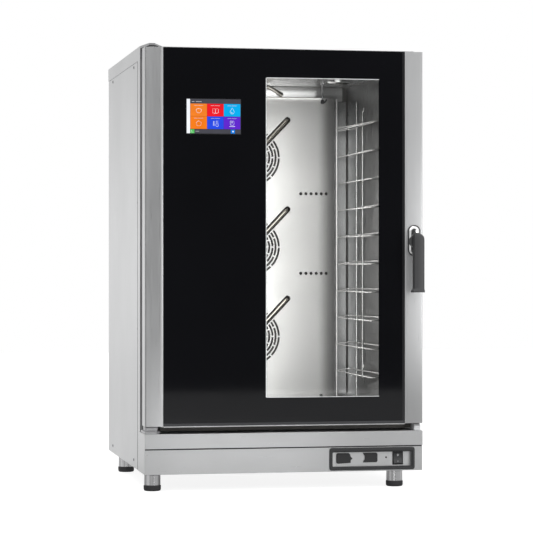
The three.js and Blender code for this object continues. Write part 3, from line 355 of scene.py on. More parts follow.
def add_tube(bm, path, radius, sides=16, closed=False, squash=1.0):
    """A round bar along a path, its section carried along without twist."""
    path = [Vector(p) for p in path]
    count = len(path)
    across = None
    rings = []
    for i, point in enumerate(path):
        before = path[i - 1] if i or closed else point
        after = path[(i + 1) % count] if i < count - 1 or closed else point
        along = (after - before).normalized()
        if across is None:
            across = along.orthogonal().normalized()
        across = (across - along * across.dot(along)).normalized()
        other = along.cross(across)
        turns = [2 * math.pi * k / sides for k in range(sides)]
        rings.append([point + across * radius * math.cos(a) + other * radius * squash * math.sin(a)
                      for a in turns])
    join_rings(bm, rings, closed)


def arc(centre, radius, start, end, steps):
    """Points of an arc in a plane, angles in degrees."""
    turns = [math.radians(start + (end - start) * i / steps) for i in range(steps + 1)]
    return [(centre[0] + radius * math.cos(a), centre[1] + radius * math.sin(a)) for a in turns]


def round_rect(x0, x1, z0, z1, radius, steps=6):
    """The outline of a rectangle with round corners."""
    if radius <= 0:
        return [(x0, z0), (x1, z0), (x1, z1), (x0, z1)]
    return [
        *arc((x1 - radius, z0 + radius), radius, -90, 0, steps),
        *arc((x1 - radius, z1 - radius), radius, 0, 90, steps),
        *arc((x0 + radius, z1 - radius), radius, 90, 180, steps),
        *arc((x0 + radius, z0 + radius), radius, 180, 270, steps),
    ]


def add_plate(bm, loops, y0, y1):
    """A flat plate in x and z between two depths: the first loop is its outline, the rest are holes."""
    edges = []
    for loop in loops:
        loop = [point for point, before in zip(loop, loop[-1:] + loop[:-1]) if math.dist(point, before) > 1e-6]
        verts = [bm.verts.new((x, y0, z)) for x, z in loop]
        edges += [bm.edges.new((a, b)) for a, b in zip(verts, verts[1:] + verts[:1])]
    filled = bmesh.ops.triangle_fill(bm, use_beauty=True, use_dissolve=False, edges=edges)["geom"]
    faces = [g for g in filled if isinstance(g, bmesh.types.BMFace)]
    grown = bmesh.ops.extrude_face_region(bm, geom=faces)["geom"]
    moved = [g for g in grown if isinstance(g, bmesh.types.BMVert)]
    bmesh.ops.translate(bm, vec=(0, y1 - y0, 0), verts=moved)
    return moved


def add_prism(bm, outline, z0, z1):
    """An outline in x and y carried from one height to another."""
    join_rings(bm, [[(x, y, z0) for x, y in outline], [(x, y, z1) for x, y in outline]])


def span(node):
    """The x, y and z ranges of a CAD node."""
    low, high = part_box(node)
    return [(low[i], high[i]) for i in range(3)]


def middle(pair):
    return (pair[0] + pair[1]) / 2


# ---------------------------------------------------------------- screws


def add_screw(bm, centre, axis, radius=4.2 * MM, height=1.6 * MM):
    """A domed screw head with a round socket."""
    dome = [(0, height * 0.35), (radius * 0.42, height * 0.35), (radius * 0.48, height),
            (radius * 0.75, height * 0.86), (radius, height * 0.3), (radius, 0), (0, 0)]
    add_turned(bm, dome, centre, axis, 18)


PANEL_INSET = 0.7 * MM


def side_screws():
    """Screws that hold the side panels and the rear panel."""
    bm = bmesh.new()
    for node, axis in (("side_panel_left", (-1, 0, 0)), ("side_panel_right", (1, 0, 0))):
        (x0, x1), (y0, y1), (z0, z1) = span(node)
        x = x0 if axis[0] < 0 else x1
        places = [(y0 + 91 * MM, z1 - 10 * MM), (y1 - 107 * MM, z1 - 10 * MM), (y0 + 91 * MM, z0 + 22 * MM),
                  (y1 - 107 * MM, z0 + 22 * MM), (y0 + 8 * MM, middle((z0, z1)) + 175 * MM),
                  (y0 + 8 * MM, middle((z0, z1)) - 175 * MM)]
        for y, z in places:
            add_screw(bm, (x - axis[0] * PANEL_INSET, y, z), axis, 4.4 * MM, 1.2 * MM)
    piece_from(bm, "side_screws", "dark_paint", "cabinet", ())
    (x0, x1), (y0, y1), (z0, z1) = span("rear_panel")
    bm = bmesh.new()
    for x in (x0 + 14 * MM, middle((x0, x1)), x1 - 14 * MM):
        for z in (z0 + 16 * MM, z0 + 390 * MM, z0 + 780 * MM, z1 - 16 * MM):
            add_screw(bm, (x, y1, z), (0, 1, 0))
    piece_from(bm, "casing_screws", "polished", "cabinet", ())


# ---------------------------------------------------------------- casing and plinth


def casing():
    refined("front_frame", "brushed_upright", 0.7 * MM)
    for node, side in (("side_panel_left", -1), ("side_panel_right", 1)):
        panel = refined(node, "brushed_upright", 0.3 * MM)
        (x0, x1), (y0, y1), (z0, z1) = span(node)
        face = x0 if side < 0 else x1
        for vertex in panel.data.vertices:
            if abs(vertex.co.x - face) < 0.2 * MM:
                vertex.co.x -= side * PANEL_INSET
        # painted shadow: a near-black strip at each side panel's front edge, standing for the shadow of its joint with
        # the front frame
        bm = bmesh.new()
        add_box(bm, (face - side * 1.2 * MM, y0 + 1 * MM, z0 + 2 * MM), (face - side * 0.2 * MM, y0 + 13 * MM, z1 - 2 * MM))
        piece_from(bm, node + "_shadow_line", "dark_gap", "cabinet", ())
    seam_z = (span("lower_fascia")[2][1], span("upper_fascia")[2][0])
    (x0, x1), (y0, y1), _ = span("upper_fascia")
    # painted shadow: a near-black block behind the gap between the lower and upper fascias, for the shade inside it
    bm = bmesh.new()
    add_box(bm, (x0 + 1.5 * MM, y0 + 4 * MM, seam_z[0] - 0.2 * MM), (x1 - 1.5 * MM, y0 + 12 * MM, seam_z[1] + 0.2 * MM))
    piece_from(bm, "plinth_seam_shadow", "dark_gap", "cabinet", ())
    bm = bmesh.new()
    for low, high in ((x0 + 0.1 * MM, x0 + 2 * MM), (x1 - 2 * MM, x1 - 0.1 * MM)):
        add_box(bm, (low, y0 + 6 * MM, seam_z[0] - 0.6 * MM), (high, y1 - 0.2 * MM, seam_z[1] + 0.6 * MM))
    piece_from(bm, "plinth_side_fillers", "brushed_upright", "cabinet", ())
    refined("top_cover", "brushed_upright", 0.7 * MM)
    refined("upper_fascia", "brushed_level", 0.7 * MM)
    refined("lower_fascia", "brushed_level", 0.7 * MM)
    refined("base_tray", "brushed_level", 0.5 * MM)
    refined("rear_panel", "brushed_upright", 0.4 * MM, 2)
    louvre_hoods()


def louvre_hoods():
    """Pressed hoods over the air slots of the rear panel; the slots are found on the panel itself."""
    (x0, x1), (y0, y1), (z0, z1) = span("rear_panel")
    bm = bmesh.new()
    depth = 5 * MM
    for centre in (-0.18, 0.18):
        for row in range(6):
            z = z1 - 240 * MM + row * 24 * MM
            hood = [(y1, z + 11 * MM), (y1 + depth * 0.6, z + 8 * MM), (y1 + depth, z + 1 * MM), (y1 + depth, z),
                    (y1 + depth - 1 * MM, z), (y1, z + 9.5 * MM)]
            ends = (centre - 78 * MM, centre + 78 * MM)
            join_rings(bm, [[(x, y, up) for y, up in hood] for x in ends])
    piece_from(bm, "rear_louvre_hoods", "brushed_upright", "cabinet", (), 0.4 * MM, 2)


def foot(node):
    """A levelling foot: a steel sleeve with a polished ring, a black tip below and a threaded stud."""
    (x0, x1), (y0, y1), (z0, z1) = span(node)
    centre = (middle((x0, x1)), middle((y0, y1)), 0)
    radius = (x1 - x0) / 2
    tip = 15 * MM
    top = 44.6 * MM
    sleeve = radius - 1.25 * MM
    bm = bmesh.new()
    add_turned(bm, [(0, tip + 0.2 * MM), (sleeve - 1 * MM, tip + 0.2 * MM), (sleeve, tip + 1 * MM),
                    (sleeve, top - 2.4 * MM), (sleeve - 0.5 * MM, top - 2 * MM), (sleeve - 0.5 * MM, top - 1.4 * MM),
                    (sleeve, top - 1 * MM), (sleeve - 0.6 * MM, top), (0, top)], centre, sides=64)
    add_turned(bm, stud_profile(top - 1 * MM, z1, 6 * MM), centre, sides=24)
    piece_from(bm, node + "_sleeve", "foot", node, (node,))
    bm = bmesh.new()
    add_turned(bm, [(0, 0), (radius - 4 * MM, 0), (radius - 2 * MM, 0.7 * MM), (radius - 0.5 * MM, 3 * MM),
                    (radius, 6 * MM), (radius, tip - 1 * MM), (radius - 0.8 * MM, tip), (0, tip)], centre, sides=64)
    piece_from(bm, node + "_tip", "rubber", node, ())


def stud_profile(low, high, radius):
    """The outline of a coarse thread, one ridge after another."""
    pitch = 1.75 * MM
    profile = [(0, low)]
    turns = int((high - low) / pitch)
    for i in range(turns):
        z = low + i * pitch
        profile += [(radius - 0.9 * MM, z), (radius, z + pitch / 2)]
    return profile + [(radius - 0.9 * MM, low + turns * pitch), (radius - 1.2 * MM, high), (0, high)]


# ---------------------------------------------------------------- cavity


def cavity_shell():
    wrap = refined("cavity_wrap", "wall", 0.3 * MM, 2)
    # painted light and shade: the wrap's ceiling faces take the pale ceiling steel and the rest the dark wall steel,
    # though it is one sheet
    wrap.data.materials.append(FINISH["ceiling"])
    ceiling = span("cavity_wrap")[2][1] - 30 * MM
    for face in wrap.data.polygons:
        if face.center.z > ceiling and abs(face.normal.z) > 0.7:
            face.material_index = 1
    # painted shade: the back wall takes the near-black shaded steel
    refined("cavity_back_wall", "burnt", 0.2 * MM, 2)
    (x0, x1), (y0, _), (_, z1) = span("cavity_back_wall")
    # painted light: a pale strip on the back wall above the baffle, in the bright ceiling steel
    bm = bmesh.new()
    add_box(bm, (x0 + 16 * MM, y0 - 1 * MM, span("fan_baffle")[2][1] - 6 * MM), (x1 - 16 * MM, y0 + 0.2 * MM, z1 - 1 * MM))
    piece_from(bm, "cavity_back_strip", "ceiling", "cabinet", ())
    bm = bmesh.new()
    add_box(bm, (span("fan_baffle")[0][1] - 12 * MM, y0 - 0.8 * MM, span("cavity_wrap")[2][0] + 4 * MM),
            (x1 - 4 * MM, y0 + 0.2 * MM, span("fan_baffle")[2][1] - 7 * MM))
    piece_from(bm, "cavity_back_right", "chamber", "cabinet", ())
    # painted shade: the drip gutter takes the near-black shaded steel
    refined("drip_gutter", "burnt", 0.4 * MM)
    (x0, x1), (y0, _), (z0, _) = span("drip_gutter")
    bm = bmesh.new()
    add_box(bm, (x0, y0 - 0.1 * MM, z0 + 11.4 * MM), (x1, y0 + 1.8 * MM, z0 + 14.2 * MM))
    piece_from(bm, "drip_gutter_lip", "chamber", "cabinet", (), 0.5 * MM)
    for node, finish in (("insulation_blanket", "wool"), ("control_board", "board"), ("fan_motor_top", "dark_paint"),
                         ("fan_motor_middle", "dark_paint"), ("fan_motor_bottom", "dark_paint"),
                         ("socket_block", "dark_plastic")):
        repaint(node, finish)


def repaint(node, finish):
    """Gives a CAD node that keeps its own shape a better material."""
    thing = frame["nodes"][node]
    if not thing.material_slots:
        thing.data.materials.append(None)
    for slot in thing.material_slots:
        slot.material = FINISH[finish]


FAN_NAMES = ("bottom", "middle", "top")
RINGS = [24 * MM, 34 * MM, 43.8 * MM, 52.6 * MM, 62.6 * MM, 72 * MM, 82 * MM]
SLOT_WIDTH = 6.5 * MM
BRIDGE = 4.2 * MM
TUBE_ANGLE = 46.5
TUBE_REACH = 158 * MM
TUBE_SLOT = 9.2 * MM
TUBE_START = 33 * MM


def fan_centre(place):
    (x0, x1), _, (z0, z1) = span(f"fan_wheel_{place}")
    return middle((x0, x1)), middle((z0, z1))


def ring_slots(cx, cz):
    """Arc slots of one fan grille: rings of eight with staggered bridges, none where the tube's slot is."""
    loops = []
    for number, radius in enumerate(RINGS):
        half = SLOT_WIDTH / 2
        bridge = math.degrees(BRIDGE / radius)
        count = 8 if number > 1 else 5
        step = 360 / count
        clear = math.degrees(math.asin(min(0.95, (TUBE_SLOT + 3 * MM) / radius)))
        for i in range(count):
            start = i * step + (number % 2) * step / 2 + bridge / 2
            end = start + step - bridge
            for low, high in outside(start, end, TUBE_ANGLE - clear, TUBE_ANGLE + clear):
                if high - low < 6:
                    continue
                steps = max(3, int((high - low) / 7))
                loops.append([*arc((cx, cz), radius + half, low, high, steps),
                              *arc((cx, cz), radius - half, high, low, steps)])
    return loops


def outside(start, end, low, high):
    """The parts of an angle range that lie outside another, in degrees."""
    parts = [(start, end)]
    for turn in (-360, 0, 360):
        kept = []
        for a, b in parts:
            kept += [(a, min(b, low + turn)), (max(a, high + turn), b)]
        parts = [(a, b) for a, b in kept if b > a]
    return parts


def tube_slot(cx, cz):
    """The round-ended slot that the water tube lies in."""
    angle = math.radians(TUBE_ANGLE)
    ends = [(cx + math.cos(angle) * r, cz + math.sin(angle) * r) for r in (TUBE_REACH, TUBE_START)]
    return [*arc(ends[0], TUBE_SLOT, TUBE_ANGLE - 90, TUBE_ANGLE + 90, 12),
            *arc(ends[1], TUBE_SLOT, TUBE_ANGLE + 90, TUBE_ANGLE + 270, 12)]


def circle(cx, cz, radius, steps=20):
    return arc((cx, cz), radius, 0, 360, steps)[:-1]


BEND_START = 221 * MM
BEND_RADIUS = 112 * MM
BEND_ANGLE = math.radians(29.5)
BAND = 20 * MM


def bent(point, y0, z1):
    """Where a point of the flat baffle ends up: rolled back at the right and leaning back at the top."""
    x, y, z = point
    run = x - BEND_START
    if run > 0:
        turn = min(run / BEND_RADIUS, BEND_ANGLE)
        rest = run - turn * BEND_RADIUS
        x = BEND_START + (BEND_RADIUS - (y - y0)) * math.sin(turn) + rest * math.cos(turn)
        y += (BEND_RADIUS - (y - y0)) * (1 - math.cos(turn)) + rest * math.sin(turn)
    if z > z1 - BAND:
        y += (z - z1 + BAND) * 0.45
    return x, y, z


def baffle():
    """The pressed sheet in front of the fans: three grilles, a rolled right edge and a leaning top band."""
    (x0, x1), (y0, y1), (z0, z1) = span("fan_baffle")
    wing = 19.5 * MM
    thick = 1.5 * MM
    left = x0 + wing
    right = BEND_START + BEND_RADIUS * BEND_ANGLE
    z0 = span("cavity_wrap")[2][0] + 3 * MM
    notch = (BEND_START + 5.5 * MM, BEND_START + 15.5 * MM)
    loops = [[(left, z0), (notch[0], z0), (notch[0], z0 + 8 * MM), (notch[1], z0 + 8 * MM), (notch[1], z0), (right, z0),
              (right, z1), (left, z1)]]
    for place in FAN_NAMES:
        cx, cz = fan_centre(place)
        loops += ring_slots(cx, cz) + [tube_slot(cx, cz), circle(cx, cz, 5 * MM, 16)]
    centres = [fan_centre(place)[1] for place in FAN_NAMES]
    for z in (centres[2] - 108.5 * MM, centres[1] - 79.8 * MM):
        for hole in range(6):
            loops.append(circle(0.168 + hole * 16 * MM, z, 5 * MM, 16))
    bm = bmesh.new()
    add_plate(bm, loops, y0, y0 + thick)
    cuts = [((BEND_START + i * 5.3 * MM, 0, 0), (1, 0, 0)) for i in range(11)]
    cuts.append(((0, 0, z1 - BAND), (0, 0, 1)))
    for place, normal in cuts:
        bmesh.ops.bisect_plane(bm, geom=[*bm.verts, *bm.edges, *bm.faces], plane_co=place, plane_no=normal, dist=1e-7)
    for vertex in bm.verts:
        vertex.co = bent(vertex.co, y0, z1)
    piece_from(bm, "fan_baffle_face", "baffle", "cabinet", ("fan_baffle",))
    bm = bmesh.new()
    out = [(left, y0), (left - wing * 0.12, y0 + 0.6 * MM), (left - wing * 0.3, y0 + 6 * MM), (x0, y1)]
    add_prism(bm, out + [(x + thick, y + thick * 0.4) for x, y in reversed(out)], z0, z1)
    end = bent((right, y0, z0), y0, z1)
    add_box(bm, (end[0] - thick * 1.6, end[1], z0), (end[0] - thick * 0.4, y1, z1 - BAND))
    piece_from(bm, "fan_baffle_fold", "baffle", "cabinet", ())
    bm = bmesh.new()
    add_box(bm, (left, y0 + BAND * 0.45 - 0.6 * MM, z1 - 0.6 * MM), (BEND_START, y0 + BAND * 0.45 + 1.6 * MM, z1 + 0.6 * MM))
    piece_from(bm, "baffle_top_edge", "element", "cabinet", ())
    bm = bmesh.new()
    for z in (z0 + 30 * MM, z1 - 30 * MM, centres[1] - 135 * MM, centres[1] + 135 * MM):
        add_screw(bm, (left + 14 * MM, y0, z), (0, -1, 0), 5 * MM, 2.5 * MM)
    piece_from(bm, "baffle_knobs", "polished", "cabinet", ())


def water_tubes():
    """The feed pipe behind the wall and one tube lying in each grille's slot."""
    (x0, x1), (y0, y1), (z0, z1) = span("water_manifold")
    radius = 5.6 * MM
    angle = math.radians(TUBE_ANGLE)
    header = (x1 - 8 * MM, y1 - 8 * MM)
    front = span("fan_baffle")[1][0] + 1 * MM
    bm = bmesh.new()
    add_tube(bm, [(*header, z0), (*header, z1)], 8 * MM, 24)
    for place in FAN_NAMES:
        cx, cz = fan_centre(place)
        inner = (cx + TUBE_START * math.cos(angle), front, cz + TUBE_START * math.sin(angle))
        outer = (cx + TUBE_REACH * math.cos(angle), front, cz + TUBE_REACH * math.sin(angle))
        path = fillet([inner, outer, (outer[0], header[1], outer[2])], 12 * MM)
        add_tube(bm, path, radius, 20)
        along = (Vector(inner) - Vector(outer)).normalized()
        add_turned(bm, [(0, 0), (radius + 0.6 * MM, 0), (radius + 0.6 * MM, 8 * MM), (3 * MM, 11 * MM), (0, 11 * MM)],
                   inner, along, 20)
    piece_from(bm, "water_tubes", "feed", "cabinet", ("water_manifold",))


def fan_wheel(place):
    """A centrifugal wheel: backplate, curved blades, a front ring, hub with its nut, and the shaft."""
    (x0, x1), (y0, y1), _ = span(f"fan_wheel_{place}")
    cx, cz = fan_centre(place)
    front, back, rim = y0 + 2 * MM, y0 + 36 * MM, 100 * MM
    bm = bmesh.new()
    forward = (0, -1, 0)
    add_turned(bm, [(0, 0), (rim + 5 * MM, 0), (rim + 6 * MM, 1.2 * MM), (rim + 5 * MM, 2 * MM), (70 * MM, 2.5 * MM),
                    (40 * MM, 5 * MM), (0, 5 * MM)], (cx, back + 2 * MM, cz), forward, 72)
    add_turned(bm, [(70 * MM, 0), (rim, 0), (rim + 1 * MM, 1.5 * MM), (71 * MM, 2.5 * MM), (70 * MM, 0)],
               (cx, front + 3 * MM, cz), forward, 72)
    add_turned(bm, [(0, 0), (16 * MM, 0), (15 * MM, 24 * MM), (11 * MM, 26 * MM), (11 * MM, 29 * MM), (0, 29 * MM)],
               (cx, back, cz), forward, 32)
    add_turned(bm, [(0, 0), (9 * MM, 0), (9 * MM, 6 * MM), (8 * MM, 6.6 * MM), (0, 6.6 * MM)],
               (cx, back - 28 * MM, cz), forward, 6)
    add_tube(bm, [(cx, back, cz), (cx, y1, cz)], 6 * MM, 24)
    for i in range(24):
        start = 15 * i
        line = [(58 * MM + 42 * MM * t, math.radians(start + 22 * t ** 1.6)) for t in (0, 0.25, 0.5, 0.75, 1)]
        ring = [(cx + r * math.cos(a), cz + r * math.sin(a)) for r, a in line]
        ring += [(cx + (r + 0.4 * MM) * math.cos(a + 0.012), cz + (r + 0.4 * MM) * math.sin(a + 0.012))
                 for r, a in reversed(line)]
        join_rings(bm, [[(x, y, z) for x, z in ring] for y in (front + 2 * MM, back)])
    # painted shade: the wheel takes the near-black shaded steel
    piece_from(bm, f"fan_wheel_{place}_blades", "burnt", f"fan_wheel_{place}", (f"fan_wheel_{place}",))


def heater(place):
    """Two turns of sheathed element around the wheel, with their leads."""
    (x0, x1), (y0, y1), _ = span(f"heating_element_{place}")
    cx, cz = fan_centre(place)
    bm = bmesh.new()
    radius = (x1 - x0) / 2 - 4.5 * MM
    for number, depth in enumerate((y0 + 4.6 * MM, y0 + 14.6 * MM)):
        loop = [(cx + radius * math.cos(a), depth, cz + radius * math.sin(a))
                for a in (math.radians(5 * i) for i in range(72))]
        add_tube(bm, loop, 4.2 * MM, 14, closed=True)
        lead = math.radians(210 + 12 * number)
        start = (cx + radius * math.cos(lead), depth, cz + radius * math.sin(lead))
        add_tube(bm, [start, (start[0], y1, start[2])], 3.8 * MM, 14)
    piece_from(bm, f"heating_element_{place}_coil", "element", "cabinet", (f"heating_element_{place}",))


def wash_arm():
    """The cleaning arm under the ceiling: a bent tube, a wall nut and a slotted spray head."""
    (x0, x1), (y0, y1), (z0, z1) = span("wash_arm")
    wall = span("cavity_wrap")[2][1] - 1.5 * MM
    y = middle((y0, y1))
    low = wall - 9 * MM
    start_x = x0 + 5 * MM
    tip = Vector((x1 - 12 * MM, y, z0 + 7.5 * MM))
    bend = Vector((start_x + 48 * MM, y, low))
    bm = bmesh.new()
    path = fillet([(start_x, y, z1), (start_x, y, low), bend, tip], 9 * MM, 8)
    add_tube(bm, path, 6 * MM, 20)
    along = (tip - bend).normalized()
    head = tip - along * 19 * MM
    collar = [(0, 0), (6.6 * MM, 0)]
    for step in range(5):
        collar += [(8 * MM, (1 + 3.4 * step) * MM), (8 * MM, (2.6 + 3.4 * step) * MM), (6.6 * MM, (3.4 + 3.4 * step) * MM)]
    add_turned(bm, collar + [(5 * MM, 19 * MM), (0, 19 * MM)], head, along, 24)
    add_turned(bm, [(0, 0), (11 * MM, 0), (11 * MM, 4 * MM), (9.5 * MM, 5 * MM), (0, 5 * MM)],
               (start_x, y, wall - 0.2 * MM), (0, 0, -1), 6)
    piece_from(bm, "wash_arm_tube", "arm", "cabinet", ("wash_arm",))


def core_probe():
    """The cavity temperature sensor: a slim stem, a ceiling nut and a dark hooked tip."""
    (x0, x1), (y0, y1), (z0, z1) = span("cavity_probe")
    wall = span("cavity_wrap")[2][1] - 1.5 * MM
    y = middle((y0, y1))
    stem_x = x0 + 8 * MM
    bm = bmesh.new()
    add_tube(bm, [(stem_x, y, z0 + 12 * MM), (stem_x, y, z1)], 2.4 * MM, 18)
    add_turned(bm, [(0, 0), (8 * MM, 0), (8 * MM, 4 * MM), (7 * MM, 5.4 * MM), (0, 5.4 * MM)],
               (stem_x, y, wall), (0, 0, -1), 6)
    piece_from(bm, "probe_stem", "turned", "cabinet", ("cavity_probe",))
    bm = bmesh.new()
    add_turned(bm, [(0, 0), (3.5 * MM, 0), (5.8 * MM, 2 * MM), (5.8 * MM, 9 * MM), (3.4 * MM, 13 * MM), (0, 13 * MM)],
               (stem_x, y, z0), (0, 0, 1), 20)
    add_tube(bm, fillet([(stem_x, y, z0 + 4 * MM), (stem_x + 8 * MM, y, z0 + 5 * MM), (x1 - 2 * MM, y, z0 + 14 * MM)], 5 * MM),
             2.4 * MM, 14)
    piece_from(bm, "probe_tip", "dark_paint", "cabinet", ())


def cavity_lamp():
    """A ceiling lamp: a steel ring and a glass lens."""
    (x0, x1), (y0, y1), (z0, z1) = span("cavity_lamp")
    centre = (middle((x0, x1)), middle((y0, y1)), 0)
    under = span("cavity_wrap")[2][1] - 1.8 * MM
    radius = (x1 - x0) / 2
    bm = bmesh.new()
    add_turned(bm, [(0, z0), (14 * MM, z0 + 0.4 * MM), (22 * MM, z0 + 2.5 * MM), (27 * MM, z0 + 6 * MM),
                    (28 * MM, under), (28 * MM, z1), (0, z1)], centre, sides=56)
    piece_from(bm, "cavity_lamp_lens", "lens", "cabinet", ("cavity_lamp",))
    bm = bmesh.new()
    add_turned(bm, [(28.3 * MM, under - 6 * MM), (31 * MM, under - 6.5 * MM), (radius - 1 * MM, under - 3 * MM),
                    (radius, under - 1 * MM), (radius, under), (28.3 * MM, under), (28.3 * MM, under - 6 * MM)],
               centre, sides=56)
    piece_from(bm, "cavity_lamp_ring", "polished", "cabinet", ())


def tray_rack(node):
    """A wire rack: at each level a loop with a raised outer wire, carried by posts, a frame and wall hooks."""
    (x0, x1), (y0, y1), (z0, z1) = span(node)
    inward = -1 if x0 > 0 else 1
    wall_x = x1 if inward < 0 else x0
    inner_x = x0 if inward < 0 else x1
    wire = 2.1 * MM
    inner = inner_x + inward * 5.5 * MM
    outer = inner_x - inward * 35.5 * MM
    post = inner_x - inward * 41 * MM
    front, back = y0 + 2.5 * MM, y1 - 2.5 * MM
    first, pitch, levels = z1 - 825 * MM, 80.7 * MM, 10
    last = first + 9 * pitch + 4 * MM
    bm = bmesh.new()
    for level in range(levels):
        z = first + level * pitch
        loop = fillet([(outer, front + 60 * MM, z + 9 * MM), (outer, back, z + 6 * MM), (inner, back, z),
                       (inner, front + 1 * MM, z), (outer, front + 1 * MM, z + 4 * MM),
                       (outer, front + 14 * MM, z + 9 * MM), (outer, front + 60 * MM, z + 9 * MM)], 8 * MM, 5)
        add_tube(bm, loop, wire, 12)
    top = z1 - 2.5 * MM
    side_y = back - 63 * MM
    add_tube(bm, [(inner, back, z0), (inner, back, top)], wire, 12)
    add_tube(bm, [(post, side_y, z0 + 5 * MM), (post, side_y, top - 12 * MM)], 1.5 * MM, 12)
    add_tube(bm, [(post, front + 23 * MM, last + 4 * MM), (inner, back - 4 * MM, last + 4 * MM)], wire, 12)
    add_tube(bm, [(post, front + 23 * MM, first - 4 * MM), (post, front + 23 * MM, last + 4 * MM)], wire, 12)
    for y in (front + 23 * MM, front + 317 * MM):
        for z in (z1 - 822 * MM, z1 - 60 * MM):
            hook = [(post, y, z - 14 * MM), (post, y, z + 12 * MM), (wall_x + inward * 2 * MM, y, z + 12 * MM),
                    (wall_x + inward * 2 * MM, y, z + 22 * MM)]
            add_tube(bm, fillet(hook, 3 * MM), 1.6 * MM, 12)
    add_tube(bm, [(post, front + 317 * MM, first - 16 * MM), (post, front + 317 * MM, z1 - 70 * MM)], 1.5 * MM, 12)
    add_tube(bm, [(post, front + 23 * MM, last), (post, front + 23 * MM, z1 - 70 * MM)], 1.2 * MM, 12)
    piece_from(bm, node + "_wires", "wire", BODY_OF[node], (node,))


def drain():
    """The drain: a dished rim in the floor, and the waste pipe to the back."""
    (x0, x1), (y0, y1), (z0, z1) = span("drain_pipe")
    cx, cy = middle((x0, x1)), y0 + 32 * MM
    radius = 20 * MM
    low = 95 * MM
    bm = bmesh.new()
    path = fillet([(cx, cy, z1 - 1.5 * MM), (cx, cy, low), (cx, y1 - 0.4 * MM, low)], 30 * MM, 12)
    add_tube(bm, path, radius, 40)
    piece_from(bm, "drain_tube", "chamber", "cabinet", ("drain_pipe",))
    bm = bmesh.new()
    add_turned(bm, [(17.3 * MM, 0), (20 * MM, 0), (20.1 * MM, 1 * MM), (17.3 * MM, 1 * MM), (17.3 * MM, 0)],
               (cx, y1 - 1 * MM, low), (0, 1, 0), 40)
    add_turned(bm, [(18 * MM, 0), (31 * MM, 0), (32 * MM, 0.5 * MM), (30 * MM, 1.4 * MM), (19 * MM, 1.6 * MM), (18 * MM, 0)],
               (cx, cy, z1 - 1.7 * MM), (0, 0, 1), 48)
    piece_from(bm, "drain_rims", "polished", "cabinet", ())
    bm = bmesh.new()
    add_turned(bm, [(0, 0), (17 * MM, 0), (17 * MM, 0.8 * MM), (0, 0.8 * MM)], (cx, y1 - 1.8 * MM, low), (0, 1, 0), 40)
    add_turned(bm, [(0, 0), (18 * MM, 0), (18 * MM, 0.5 * MM), (0, 0.5 * MM)], (cx, cy, z1 - 1.6 * MM), (0, 0, 1), 40)
    piece_from(bm, "drain_shade", "dark_gap", "cabinet", ())


# ---------------------------------------------------------------- roof and rear services


def chimney():
    """The steam outlet: a tube with a rolled rim and a flashing collar on the roof."""
    (x0, x1), (y0, y1), (z0, z1) = span("chimney")
    centre = (middle((x0, x1)), middle((y0, y1)), 0)
    outer = (x1 - x0) / 2
    inner = outer - 2 * MM
    roof = span("top_cover")[2][1]
    bm = bmesh.new()
    add_turned(bm, [(inner, z0), (outer, z0), (outer, z1 - 3 * MM), (outer - 0.2 * MM, z1 - 0.6 * MM),
                    (outer - 1 * MM, z1), (inner + 0.2 * MM, z1 - 0.6 * MM), (inner, z1 - 3 * MM), (inner, z0)],
               centre, sides=64)
    piece_from(bm, "chimney_tube", "chamber", "cabinet", ("chimney",))
    bm = bmesh.new()
    add_turned(bm, [(outer + 0.2 * MM, 0), (outer + 14 * MM, 0), (outer + 14 * MM, 1 * MM), (outer + 3 * MM, 1.4 * MM),
                    (outer + 1.4 * MM, 3 * MM), (outer + 1.4 * MM, 9 * MM), (outer + 0.2 * MM, 9 * MM),
                    (outer + 0.2 * MM, 0)], (centre[0], centre[1], roof), sides=64)
    for i in range(4):
        angle = math.radians(45 + 90 * i)
        spot = (centre[0] + (outer + 9 * MM) * math.cos(angle), centre[1] + (outer + 9 * MM) * math.sin(angle),
                roof + 1 * MM)
        add_screw(bm, spot, (0, 0, 1), 3 * MM, 1.4 * MM)
    piece_from(bm, "chimney_collar", "brushed_upright", "cabinet", ())
    bm = bmesh.new()
    (fx0, fx1), (fy0, fy1), (fz0, fz1) = span("vent_flap")
    axis_z = middle((fz0, fz1))
    disc = inner - 1.2 * MM
    add_turned(bm, [(0, -0.8 * MM), (disc - 0.5 * MM, -0.8 * MM), (disc, 0), (disc - 0.5 * MM, 0.8 * MM), (0, 0.8 * MM)],
               (centre[0], centre[1], axis_z), sides=64)
    add_tube(bm, [(fx0, centre[1], axis_z), (fx1 - 1 * MM, centre[1], axis_z)], 2.6 * MM, 20)
    add_turned(bm, [(0, 0), (7 * MM, 0), (8 * MM, 1 * MM), (8 * MM, 5 * MM), (7 * MM, 6 * MM), (0, 6 * MM)],
               (fx1 - 7 * MM, centre[1], axis_z), (1, 0, 0), 32)
    add_tube(bm, [(fx1 - 4 * MM, centre[1], axis_z), (fx1 - 4 * MM, centre[1] - 19 * MM, axis_z)], 2.6 * MM, 12)
    piece_from(bm, "vent_flap_disc", "chamber", "vent_flap", ("vent_flap",))


